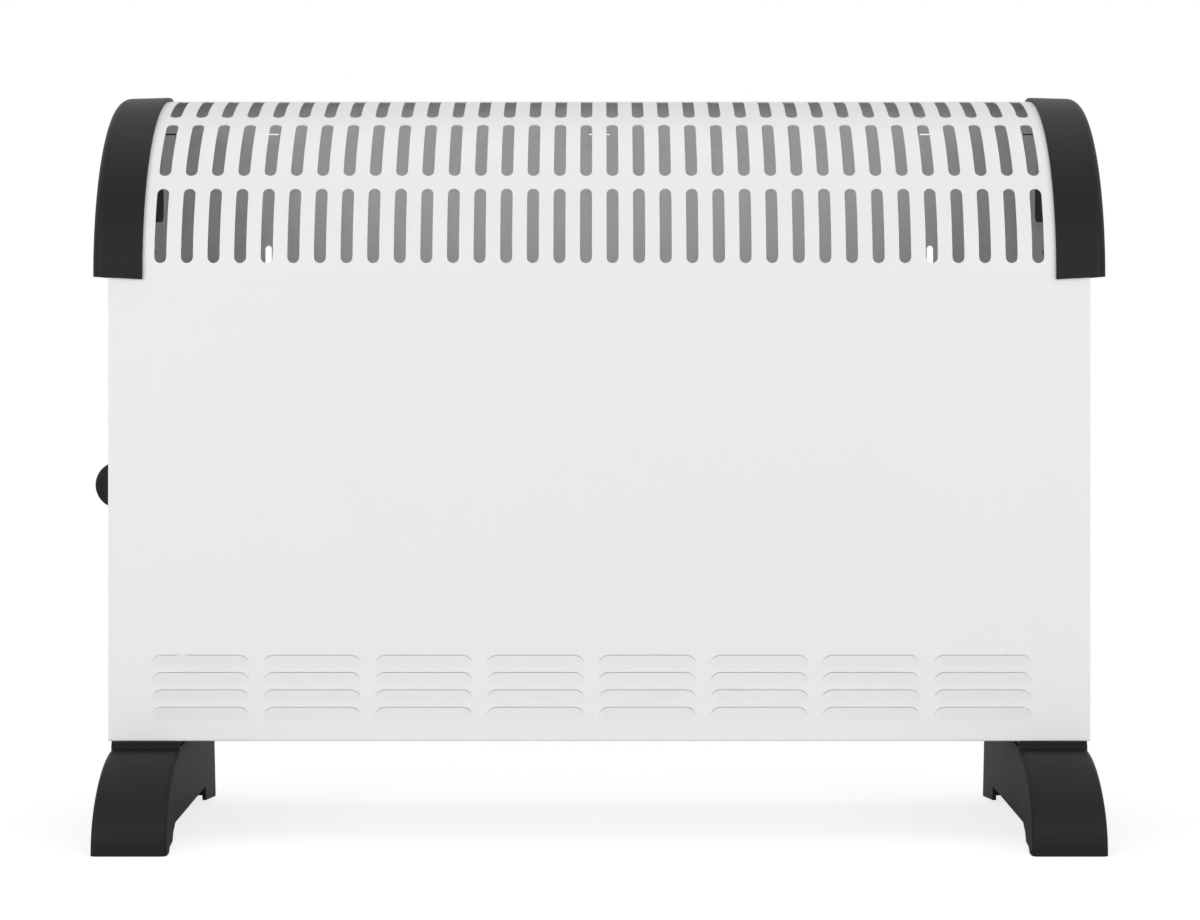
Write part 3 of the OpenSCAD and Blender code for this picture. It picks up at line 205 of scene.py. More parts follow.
@dataclass(frozen=True)
class Finish:
    """A finish: colour, gloss, and the relief that its surface has close up."""

    name: str
    color: Point
    roughness: float
    metallic: float = 0.0
    specular: float = 0.5
    spread: float = 0.04
    relief: float = 0.00002
    grain: float = 900.0
    grain_detail: float = 3.0
    clouds: float = 22.0
    cloud_detail: float = 2.0

    def material(self) -> bpy.types.Material:
        """Builds the material.

        Returns:
            The new material.
        """
        material = bpy.data.materials.new(self.name)
        material.use_nodes = True
        tree = Tree(material.node_tree)
        place = tree.add("ShaderNodeTexCoord", out="Object")
        color, roughness, height = self.surface(tree, place)
        normal = tree.add("ShaderNodeBump", None, {
            "Strength": 1.0,
            "Distance": self.relief,
            "Height": height,
        })
        shader = tree.add("ShaderNodeBsdfPrincipled", None, {
            "Base Color": color,
            "Roughness": roughness,
            "Metallic": self.metallic,
            "Specular IOR Level": self.specular,
            "Normal": normal,
        })
        tree.add("ShaderNodeOutputMaterial", None, {"Surface": shader})
        return material

    def tones(self, tree: Tree, share: Value) -> Value:
        """The finish's colour, between its darker tone and its lighter one."""
        return tree.mix(share, shade(self.color, 1 - self.spread), shade(self.color, 1 + self.spread))

    def surface(self, tree: Tree, place: Value) -> tuple[Value, Value, Value]:
        """What varies over the surface.

        Args:
            tree: The material's tree.
            place: Object coordinates.

        Returns:
            Colour, roughness and height.
        """
        broad = tree.noise(place, self.clouds, self.cloud_detail)
        color = self.tones(tree, broad)
        fine = tree.noise(place, self.grain, self.grain_detail)
        return color, broad * self.spread + (self.roughness - self.spread / 2), fine


@dataclass(frozen=True)
class PowderCoat(Finish):
    """Powder coat: a soft orange peel with fine grains of pigment."""

    grain_detail: float = 1.5
    clouds: float = 9.0
    pigment: float = 5200.0
    pigment_detail: float = 1.0
    pigment_share: float = 0.4
    pigment_lift: float = 0.2

    def surface(self, tree: Tree, place: Value) -> tuple[Value, Value, Value]:
        """Orange peel in the relief, and a trace of cloudiness in colour and gloss.

        Args:
            tree: The material's tree.
            place: Object coordinates.

        Returns:
            Colour, roughness and height.
        """
        cloud = tree.noise(place, self.clouds, self.cloud_detail)
        pigment = tree.noise(place, self.pigment, self.pigment_detail)
        blend = cloud * (1 - self.pigment_share) + pigment * self.pigment_share
        color = self.tones(tree, blend)
        peel = tree.noise(place, self.grain, self.grain_detail)
        gloss = cloud * self.spread * 2 + (self.roughness - self.spread)
        return color, gloss, peel * (1 - self.pigment_lift) + pigment * self.pigment_lift


@dataclass(frozen=True)
class Moulding(Finish):
    """Moulded plastic with the fine sparked texture of its mould."""

    grain_detail: float = 2.0
    clouds: float = 14.0
    cloud_detail: float = 3.0
    speck_ratio: float = 1.7
    speck_gloss: float = 0.06
    speck_lift: float = 0.5
    pit_lift: float = 0.7

    def surface(self, tree: Tree, place: Value) -> tuple[Value, Value, Value]:
        """Pits of the mould's texture, and flow marks that shift the gloss a little.

        Args:
            tree: The material's tree.
            place: Object coordinates.

        Returns:
            Colour, roughness and height.
        """
        flow = tree.noise(place, self.clouds, self.cloud_detail)
        pits = tree.add("ShaderNodeTexVoronoi", None, {"Vector": place, "Scale": self.grain})
        speck = tree.noise(place, self.grain * self.speck_ratio, self.grain_detail)
        color = self.tones(tree, speck)
        middle = self.roughness - self.spread / 2 - self.speck_gloss / 2
        gloss = flow * self.spread + speck * self.speck_gloss + middle
        return color, gloss, pits * self.pit_lift + speck * self.speck_lift


@dataclass(frozen=True)
class Plated(Finish):
    """Zinc-coated or plated steel with crystals of the coating and a rolled grain."""

    grain_detail: float = 2.0
    crystals: float = 140.0
    crystal_gloss: float = 0.1
    roll_stretch: float = 0.04
    roll_gloss: float = 0.08

    def surface(self, tree: Tree, place: Value) -> tuple[Value, Value, Value]:
        """Spangle in the colour and gloss, rolling lines in the relief.

        Args:
            tree: The material's tree.
            place: Object coordinates.

        Returns:
            Colour, roughness and height.
        """
        level = tree.cells(place, self.crystals)
        color = self.tones(tree, level)
        stretch = (self.roll_stretch, 1.0, 1.0)
        along = tree.add("ShaderNodeMapping", None, {"Vector": place, "Scale": stretch})
        lines = tree.noise(along, self.grain, self.grain_detail)
        middle = self.roughness - (self.crystal_gloss + self.roll_gloss) / 2
        return color, level * self.crystal_gloss + lines * self.roll_gloss + middle, lines


@dataclass(frozen=True)
class Layered(Finish):
    """Pressed mica: flakes in layers, with a dull gleam."""

    clouds: float = 60.0
    cloud_detail: float = 4.0
    flake_share: float = 0.6
    flake_gloss: float = 0.2
    dark: float = 0.72
    light: float = 1.25

    def surface(self, tree: Tree, place: Value) -> tuple[Value, Value, Value]:
        """Flakes of several tones.

        Args:
            tree: The material's tree.
            place: Object coordinates.

        Returns:
            Colour, roughness and height.
        """
        tone = tree.cells(place, self.grain)
        cloud = tree.noise(place, self.clouds, self.cloud_detail)
        share = tone * self.flake_share + cloud * (1 - self.flake_share)
        color = tree.mix(share, shade(self.color, self.dark), shade(self.color, self.light))
        return color, tone * self.flake_gloss + (self.roughness - self.flake_gloss / 2), tone


class Finishes:
    """All materials of the heater, made once and found by name."""

    WHITE = PowderCoat(
        "white_powder_coat", (0.86, 0.86, 0.86), 0.42, spread=0.012, relief=0.000016, grain=620.0)
    SIDE = PowderCoat(
        "side_powder_coat", (0.82, 0.82, 0.82), 0.45, spread=0.012, relief=0.000016, grain=620.0)
    BLACK = Moulding(
        "black_moulding", (0.007, 0.007, 0.0074), 0.52, specular=0.2, spread=0.08, relief=0.00003,
        grain=2600.0)
    KNOB = Moulding(
        "knob_moulding", (0.006, 0.006, 0.0064), 0.38, specular=0.2, spread=0.06, relief=0.000014,
        grain=3200.0)
    DARK = Moulding("dark_moulding", (0.02, 0.018, 0.018), 0.46, spread=0.08, relief=0.00002, grain=2800.0)
    PALE = Moulding("pale_moulding", (0.72, 0.69, 0.6), 0.45, spread=0.05, relief=0.00001, grain=2400.0)
    ZINC = Plated(
        "zinc_sheet", (0.6, 0.61, 0.62), 0.38, metallic=1.0, spread=0.1, relief=0.000008, grain=900.0)
    SCREW = Plated(
        "plated_steel", (0.62, 0.63, 0.64), 0.3, metallic=1.0, spread=0.05, relief=0.000005, grain=2200.0)
    BRASS = Plated(
        "stamped_brass", (0.72, 0.52, 0.24), 0.28, metallic=1.0, spread=0.06, relief=0.000005, grain=1800.0)
    WIRE = Plated(
        "resistance_wire", (0.3, 0.27, 0.24), 0.5, metallic=1.0, spread=0.2, relief=0.00001, grain=2600.0)
    MICA = Layered("pressed_mica", (0.46, 0.34, 0.19), 0.55, relief=0.00006, grain=420.0)
    CERAMIC = Finish("unglazed_ceramic", (0.8, 0.76, 0.66), 0.7, spread=0.05, relief=0.00003, grain=1500.0)
    BROWN = Finish("brown_sleeve", (0.2, 0.08, 0.035), 0.42, spread=0.1, relief=0.00001, grain=1200.0)
    BLUE = Finish("blue_sleeve", (0.03, 0.09, 0.3), 0.42, spread=0.1, relief=0.00001, grain=1200.0)
    GREEN = Finish("green_sleeve", (0.07, 0.26, 0.04), 0.42, spread=0.1, relief=0.00001, grain=1200.0)
    PRINT = Finish("white_print", (0.78, 0.78, 0.76), 0.5, spread=0.03, relief=0.00001, grain=2400.0)

    _made: dict[str, bpy.types.Material] = {}

    @classmethod
    def get(cls, finish: Finish) -> bpy.types.Material:
        """The material of a finish, made when it is first asked for.

        Args:
            finish: The finish.

        Returns:
            Its material.
        """
        if finish.name not in cls._made:
            cls._made[finish.name] = finish.material()
        return cls._made[finish.name]


class Bench:
    """Turns shapes into objects, and node trees and modifiers into plain meshes."""

    @staticmethod
    def put(name: str, data: bpy.types.ID) -> bpy.types.Object:
        """Puts an object with the given data into the scene.

        Args:
            name: The object's name.
            data: Its mesh, curve, lamp or camera.

        Returns:
            The new object.
        """
        obj = bpy.data.objects.new(name, data)
        bpy.context.scene.collection.objects.link(obj)
        return obj

    @staticmethod
    def piece(name: str, points: Sequence, faces: Sequence, finish: Finish) -> bpy.types.Object:
        """Makes an object from points and faces.

        Args:
            name: The piece's name.
            points: Its points.
            faces: Its faces, as indexes of points.
            finish: Its finish.

        Returns:
            The new object.
        """
        mesh = bpy.data.meshes.new(name)
        mesh.from_pydata([tuple(p) for p in points], [], [tuple(f) for f in faces])
        mesh.update()
        mesh.materials.append(Finishes.get(finish))
        return Bench.put(name, mesh)

    @staticmethod
    def freeze(obj: bpy.types.Object) -> bpy.types.Object:
        """Turns an object and its modifiers into a plain mesh object of the same name.

        Args:
            obj: The object.

        Returns:
            The object, with a plain mesh and no modifier.
        """
        graph = bpy.context.evaluated_depsgraph_get()
        mesh = bpy.data.meshes.new_from_object(obj.evaluated_get(graph))
        if obj.type == "MESH":
            obj.modifiers.clear()
            obj.data = mesh
            return obj
        name = obj.name
        bpy.data.objects.remove(obj)
        return Bench.put(name, mesh)

    @classmethod
    def grow(cls, obj: bpy.types.Object, group: bpy.types.NodeTree, inputs: dict) -> bpy.types.Object:
        """Runs a geometry tree on an object and keeps its result.

        Args:
            obj: The object.
            group: The geometry tree.
            inputs: Values of the tree's inputs by name.

        Returns:
            The object with the tree's result as its mesh.
        """
        modifier = obj.modifiers.new(group.name, "NODES")
        modifier.node_group = group
        for item in group.interface.items_tree:
            if item.item_type == "SOCKET" and item.in_out == "INPUT" and item.name in inputs:
                modifier[item.identifier] = inputs[item.name]
        return cls.freeze(obj)

    @classmethod
    def copies(
        cls, name: str, source: bpy.types.Object, places: Sequence[Point], facing: Point, finish: Finish
    ) -> bpy.types.Object:
        """Puts a copy of an object on every place, and uses the object up.

        Args:
            name: Name of the result.
            source: The object.
            places: The places.
            facing: The way that the Z axis of every copy looks.
            finish: The finish.

        Returns:
            All copies as one object.
        """
        spots = cls.piece(name, places, [], finish)
        ways = spots.data.attributes.new("facing", "FLOAT_VECTOR", "POINT")
        ways.data.foreach_set("vector", list(facing) * len(places))
        cls.grow(spots, Grow.scatter(), {"Object": source, "Material": Finishes.get(finish)})
        bpy.data.objects.remove(source)
        return spots

    @classmethod
    def finish(
        cls, obj: bpy.types.Object, wall: float = 0.0, edge: float = 0.0, angle: float = 50.0, steps: int = 2
    ) -> bpy.types.Object:
        """Gives a piece its wall and rounded edges, and smooths its shading.

        Args:
            obj: The piece.
            wall: Thickness of its wall, inwards; none for a solid.
            edge: Width of its rounded edges.
            angle: Angle in degrees above which an edge is rounded.
            steps: Number of steps round an edge.

        Returns:
            The finished piece.
        """
        cls.weld(obj)
        if wall:
            solid = obj.modifiers.new("wall", "SOLIDIFY")
            solid.thickness = wall
            solid.offset = -1.0
            solid.use_even_offset = True
        if edge:
            bevel = obj.modifiers.new("edge", "BEVEL")
            bevel.width = edge
            bevel.segments = steps
            bevel.limit_method = "ANGLE"
            bevel.angle_limit = math.radians(angle)
            bevel.miter_outer = "MITER_ARC"
        cls.freeze(obj)
        obj.data.shade_smooth()
        obj.data.set_sharp_from_angle(angle=math.radians(SHARP_DEG))
        if edge:
            obj.modifiers.new("shading", "WEIGHTED_NORMAL").keep_sharp = True
            cls.freeze(obj)
        return obj

    @staticmethod
    def weld(obj: bpy.types.Object) -> None:
        """Joins points of a piece that coincide."""
        obj.modifiers.new("join", "WELD").merge_threshold = WELD
        Bench.freeze(obj)

    @staticmethod
    def join(name: str, parts: Sequence[bpy.types.Object]) -> bpy.types.Object:
        """Joins several mesh objects to one piece, materials included.

        Args:
            name: The piece's name.
            parts: The objects, which are used up.

        Returns:
            The joined piece.
        """
        with bpy.context.temp_override(
            active_object=parts[0], object=parts[0], selected_objects=parts, selected_editable_objects=parts
        ):
            bpy.ops.object.join()
        parts[0].name = name
        return parts[0]

    @staticmethod
    def place(obj: bpy.types.Object, matrix: Matrix) -> bpy.types.Object:
        """Puts a place into an object's mesh, so that the object itself stays at the origin.

        Args:
            obj: The object.
            matrix: The place.

        Returns:
            The object.
        """
        obj.data.transform(matrix)
        if matrix.is_negative:
            obj.data.flip_normals()
        obj.data.update()
        return obj

    @staticmethod
    def settle(obj: bpy.types.Object, body: str, slot: str, *nodes: str) -> None:
        """Ties a finished piece to its body and hides the nodes that it stands for.

        Args:
            obj: The piece.
            body: The body that it rides on.
            slot: The record's material slot; not used.
            nodes: The nodes that it replaces.
        """
        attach(obj, body)
        if nodes:
            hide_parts(*nodes)
        LOG.info("%s: %d faces on %s", obj.name, len(obj.data.polygons), body)


class Shape:
    """Outlines and surfaces that several pieces share."""

    @staticmethod
    def arc(center: Flat, radius: float, start: float, end: float, steps: int) -> list[Flat]:
        """Points on an arc between two angles in degrees, both ends included."""
        turns = [math.radians(start + (end - start) * i / steps) for i in range(steps + 1)]
        return [(center[0] + radius * math.cos(a), center[1] + radius * math.sin(a)) for a in turns]

    @classmethod
    def rounded(cls, width: float, height: float, radius: float, steps: int = 6) -> list[Flat]:
        """A rectangle round its own centre with round corners, anticlockwise.

        Args:
            width: Its width.
            height: Its height.
            radius: Radius of its corners.
            steps: Steps in each corner.

        Returns:
            Its points.
        """
        corners = ((1, -1, 270), (1, 1, 0), (-1, 1, 90), (-1, -1, 180))
        points: list[Flat] = []
        for x, y, start in corners:
            center = (x * (width / 2 - radius), y * (height / 2 - radius))
            points += cls.arc(center, radius, start, start + 90, steps)
        return points

    @staticmethod
    def fill(
        loops: Sequence[Sequence[Flat]], inner: Iterable[Flat], keep: Callable[[float, float], bool]
    ) -> tuple:
        """Fills the space between closed loops with triangles.

        Args:
            loops: Closed loops.
            inner: Points inside that the triangles use too.
            keep: Tells whether a triangle with its centre at a place is kept.

        Returns:
            Points and faces, faces anticlockwise.
        """
        points: list[Flat] = []
        edges: list[tuple[int, int]] = []
        for loop in loops:
            first = len(points)
            points += loop
            edges += [(first + i, first + (i + 1) % len(loop)) for i in range(len(loop))]
        points += inner
        found, _, faces, _, _, _ = delaunay_2d_cdt([Vector(p) for p in points], edges, [], 0, TOUCH)
        kept = []
        for face in faces:
            a, b, c = (found[i] for i in face)
            if not keep((a.x + b.x + c.x) / 3, (a.y + b.y + c.y) / 3):
                continue
            turn = (b.x - a.x) * (c.y - a.y) - (b.y - a.y) * (c.x - a.x)
            kept.append(tuple(face) if turn > 0 else tuple(reversed(face)))
        return [tuple(p) for p in found], kept

    @staticmethod
    def inside(loop: Sequence[Flat], x: float, y: float) -> bool:
        """Whether a place lies in a closed loop.

        Args:
            loop: The loop.
            x: First coordinate.
            y: Second coordinate.

        Returns:
            True if it does.
        """
        hit = False
        for (ax, ay), (bx, by) in zip(loop, [*loop[1:], loop[0]]):
            if (ay > y) != (by > y) and x < ax + (y - ay) / (by - ay) * (bx - ax):
                hit = not hit
        return hit

    @staticmethod
    def turned(profile: Sequence[Flat], steps: int) -> tuple:
        """A profile turned round the Z axis, with its poles closed.

        Args:
            profile: Radius and height of its points, from the lower pole to the upper one.
            steps: Steps of the turn.

        Returns:
            Points and faces.
        """
        points: list[Point] = []
        rings: list[list[int]] = []
        for radius, height in profile:
            count = 1 if radius < WELD else steps
            rings.append(list(range(len(points), len(points) + count)))
            for k in range(count):
                turn = 2 * math.pi * k / steps
                points.append((radius * math.cos(turn), radius * math.sin(turn), height))
        faces = []
        for low, high in zip(rings, rings[1:]):
            for k in range(steps):
                loop = [low[k % len(low)], low[(k + 1) % len(low)]]
                loop += [high[(k + 1) % len(high)], high[k % len(high)]]
                face = list(dict.fromkeys(loop))
                if len(face) > 2:
                    faces.append(face)
        return points, faces

    @staticmethod
    def band(first: int, count: int) -> list[tuple]:
        """Faces between a closed ring, given by its first point and its count, and the next ring."""
        after = [first + (i + 1) % count for i in range(count)]
        return [(first + i, after[i], count + after[i], count + first + i) for i in range(count)]

    @staticmethod
    def slab(half: float, low: float, high: float) -> list[Flat]:
        """A rectangle across the Y axis, anticlockwise, from its half width and its lower and upper end."""
        return [(-half, low), (half, low), (half, high), (-half, high)]

    @staticmethod
    def raised(outline: Sequence[Flat], low: float, high: float) -> tuple:
        """An outline raised along Z to a closed solid.

        Args:
            outline: The outline, anticlockwise.
            low: Height of its lower face.
            high: Height of its upper face.

        Returns:
            Points and faces.
        """
        n = len(outline)
        points = [(x, y, low) for x, y in outline] + [(x, y, high) for x, y in outline]
        faces = [tuple(reversed(range(n))), tuple(range(n, 2 * n))]
        return points, faces + Shape.band(0, n)


class Grow:
    """Geometry trees for what is bent, repeated or drawn along a line."""

    @staticmethod
    def _group(name: str, inputs: dict[str, str]) -> tuple[bpy.types.NodeTree, Tree, Callable[[str], Value]]:
        """Starts a geometry tree with named inputs.

        Args:
            name: The tree's name.
            inputs: Kind of each input socket by name.

        Returns:
            The group, the tree to build in, and a function that gives an input by name.
        """
        group = bpy.data.node_groups.new(name, "GeometryNodeTree")
        group.interface.new_socket("Geometry", in_out="OUTPUT", socket_type="NodeSocketGeometry")
        group.interface.new_socket("Geometry", in_out="INPUT", socket_type="NodeSocketGeometry")
        for label, kind in inputs.items():
            group.interface.new_socket(label, in_out="INPUT", socket_type=f"NodeSocket{kind}")
        tree = Tree(group)
        start = group.nodes.new("NodeGroupInput")
        return group, tree, lambda label: Value(tree, start.outputs[label])

    @staticmethod
    def _end(tree: Tree, geometry: Value, material: Value) -> None:
        """Ends a tree in Realize Instances and Set Material.

        Args:
            tree: The tree.
            geometry: Its result.
            material: Its material.
        """
        real = tree.add("GeometryNodeRealizeInstances", None, {"Geometry": geometry})
        dressed = tree.add("GeometryNodeSetMaterial", None, {"Geometry": real, "Material": material})
        tree.add("NodeGroupOutput", None, {0: dressed})

    @classmethod
    def field(cls) -> bpy.types.NodeTree:
        """Repeats a tile in columns along X and rows along Y, and welds the tiles.

        Returns:
            The geometry tree.
        """
        group, tree, given = cls._group("field_of_tiles", {
            "Columns": "Int", "Rows": "Int", "Pitch": "Float", "Step": "Float", "Material": "Material"})
        across = tree.add("ShaderNodeCombineXYZ", None, {0: given("Pitch")})
        along = tree.add("ShaderNodeCombineXYZ", None, {1: given("Step")})
        row = tree.add("GeometryNodeMeshLine", None, {"Count": given("Columns"), "Offset": across})
        column = tree.add("GeometryNodeMeshLine", None, {"Count": given("Rows"), "Offset": along})
        tiles = tree.add("GeometryNodeInstanceOnPoints", None, {
            "Points": row, "Instance": given("Geometry")})
        rows = tree.add("GeometryNodeInstanceOnPoints", None, {"Points": column, "Instance": tiles})
        real = tree.add("GeometryNodeRealizeInstances", None, {"Geometry": rows})
        joined = tree.add("GeometryNodeMergeByDistance", None, {"Geometry": real, "Distance": WELD})
        cls._end(tree, joined, given("Material"))
        return group

    @classmethod
    def bend(cls) -> bpy.types.NodeTree:
        """Bends a flat blank round the body: X stays, Y runs up the front and over, Z is the height over it.

        Returns:
            The geometry tree.
        """
        group, tree, given = cls._group("bend_round_body", {
            "Front": "Float", "Spring": "Float", "Curve": "Float", "Run": "Float", "Corner": "Float",
            "Fold At": "Float", "Fold": "Float", "Material": "Material"})
        place = tree.add("GeometryNodeInputPosition")
        x, s, h = (tree.add("ShaderNodeSeparateXYZ", None, {"Vector": place}, out=i) for i in range(3))
        curve, corner, fold = given("Curve"), given("Corner"), given("Fold")
        over = s - curve * QUARTER
        first = s.between(0.0, curve * QUARTER) / curve
        run = over.between(0.0, given("Run"))
        past = over - given("Run")
        second = past.between(0.0, corner * QUARTER) / corner
        fall = (past - corner * QUARTER).at_least(0.0)
        under = given("Fold At") - s
        third = under.between(0.0, fold * QUARTER) / fold
        inward = (under - fold * QUARTER).at_least(0.0)
        turn = first + second - third
        back = (curve * (1.0 - first.cos()) + run + corner * second.sin()
                + fold * (1.0 - third.cos()) + inward)
        rise = s.between(given("Fold At"), 0.0) + curve * first.sin() - fold * third.sin()
        drop = corner * (1.0 - second.cos()) + fall
        y = given("Front") + back - h * turn.cos()
        z = given("Spring") + rise - drop + h * turn.sin()
        moved = tree.add("ShaderNodeCombineXYZ", None, {0: x, 1: y, 2: z})
        bent = tree.add("GeometryNodeSetPosition", None, {"Geometry": given("Geometry"), "Position": moved})
        cls._end(tree, bent, given("Material"))
        return group

    @classmethod
    def scatter(cls) -> bpy.types.NodeTree:
        """Puts a copy of an object on every point, turned so that its Z axis follows the point's facing.

        Returns:
            The geometry tree.
        """
        group, tree, given = cls._group("copies_on_points", {"Object": "Object", "Material": "Material"})
        copy = tree.add("GeometryNodeObjectInfo", None, {"Object": given("Object")}, out="Geometry")
        facing = tree.add(
            "GeometryNodeInputNamedAttribute", {"data_type": "FLOAT_VECTOR"}, {"Name": "facing"})
        turn = tree.add("FunctionNodeAlignRotationToVector", {"axis": "Z"}, {"Vector": facing})
        copies = tree.add("GeometryNodeInstanceOnPoints", None, {
            "Points": given("Geometry"), "Instance": copy, "Rotation": turn})
        cls._end(tree, copies, given("Material"))
        return group

    @classmethod
    def tube(cls) -> bpy.types.NodeTree:
        """Turns a curve into a round tube with eased bends.

        Returns:
            The geometry tree.
        """
        group, tree, given = cls._group("tube_on_curve", {
            "Radius": "Float", "Bend": "Float", "Steps": "Int", "Sides": "Int", "Material": "Material"})
        eased = tree.add("GeometryNodeFilletCurve", {"mode": "POLY"}, {
            "Curve": given("Geometry"), "Radius": given("Bend"), "Count": given("Steps")})
        ring = tree.add("GeometryNodeCurvePrimitiveCircle", None, {
            "Resolution": given("Sides"), "Radius": given("Radius")})
        tube = tree.add("GeometryNodeCurveToMesh", None, {
            "Curve": eased, "Profile Curve": ring, "Fill Caps": True})
        cls._end(tree, tube, given("Material"))
        return group


def end_of(side: int) -> str:
    """The end that a side stands for: -1 is the left one and 1 the right one."""
    return "left" if side < 0 else "right"


@dataclass
class BodyForm:
    """The bent outline of the body, which the front sheet, the end caps and the feet share."""

    curve_r: float = 0.110
    corner_r: float = 0.014
    top_run: float = 0.001
    fold_r: float = 0.0012
    sheet: float = 0.0008
    level_step: float = 0.004
    low: Vector = field(default_factory=lambda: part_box("rear_panel")[0])
    high: Vector = field(default_factory=lambda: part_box("front_panel")[1])
    bend: bpy.types.NodeTree = field(default_factory=Grow.bend)

    @property
    def half(self) -> float:
        """Half the width of the body."""
        return self.high.x

    @property
    def rear(self) -> float:
        """Y of the outer face of the rear panel."""
        return self.high.y

    @property
    def front(self) -> float:
        """Y of the outer face of the front."""
        return self.rear - self.curve_r - self.top_run - self.corner_r

    @property
    def spring(self) -> float:
        """Z at which the curve starts."""
        return self.high.z - self.curve_r

    @property
    def fold_at(self) -> float:
        """Way along the blank, counted from the start of the curve, at which the lower fold starts."""
        return self.low.z + self.fold_r - self.spring

    @property
    def curve_end(self) -> float:
        """Way along the blank at which the curve ends."""
        return self.curve_r * QUARTER

    @property
    def corner_start(self) -> float:
        """Way along the blank at which the rear corner starts."""
        return self.curve_end + self.top_run

    @property
    def corner_end(self) -> float:
        """Way along the blank at which the rear corner ends."""
        return self.corner_start + self.corner_r * QUARTER

    def wrap(self, obj: bpy.types.Object, finish: Finish) -> bpy.types.Object:
        """Bends a flat piece round the body.

        Args:
            obj: The flat piece.
            finish: Its finish.

        Returns:
            The bent piece.
        """
        return Bench.grow(obj, self.bend, {
            "Front": self.front, "Spring": self.spring, "Curve": self.curve_r, "Run": self.top_run,
            "Corner": self.corner_r, "Fold At": self.fold_at, "Fold": self.fold_r,
            "Material": Finishes.get(finish)})

    def levels(self, start: float, end: float) -> list[float]:
        """Lines across the blank, close together where it bends.

        Args:
            start: First line.
            end: Last line.

        Returns:
            The lines in order, both ends included.
        """
        marks = [start, end]
        bends = (
            (0.0, self.curve_end, self.level_step),
            (self.corner_start, self.corner_end, self.level_step / 2),
            (self.fold_at - self.fold_r * QUARTER, self.fold_at, self.fold_r / 3))
        for low, high, gap in bends:
            count = math.ceil((high - low) / gap)
            marks += [low + (high - low) * i / count for i in range(count + 1)]
        return sorted(m for m in set(marks) if start <= m <= end)


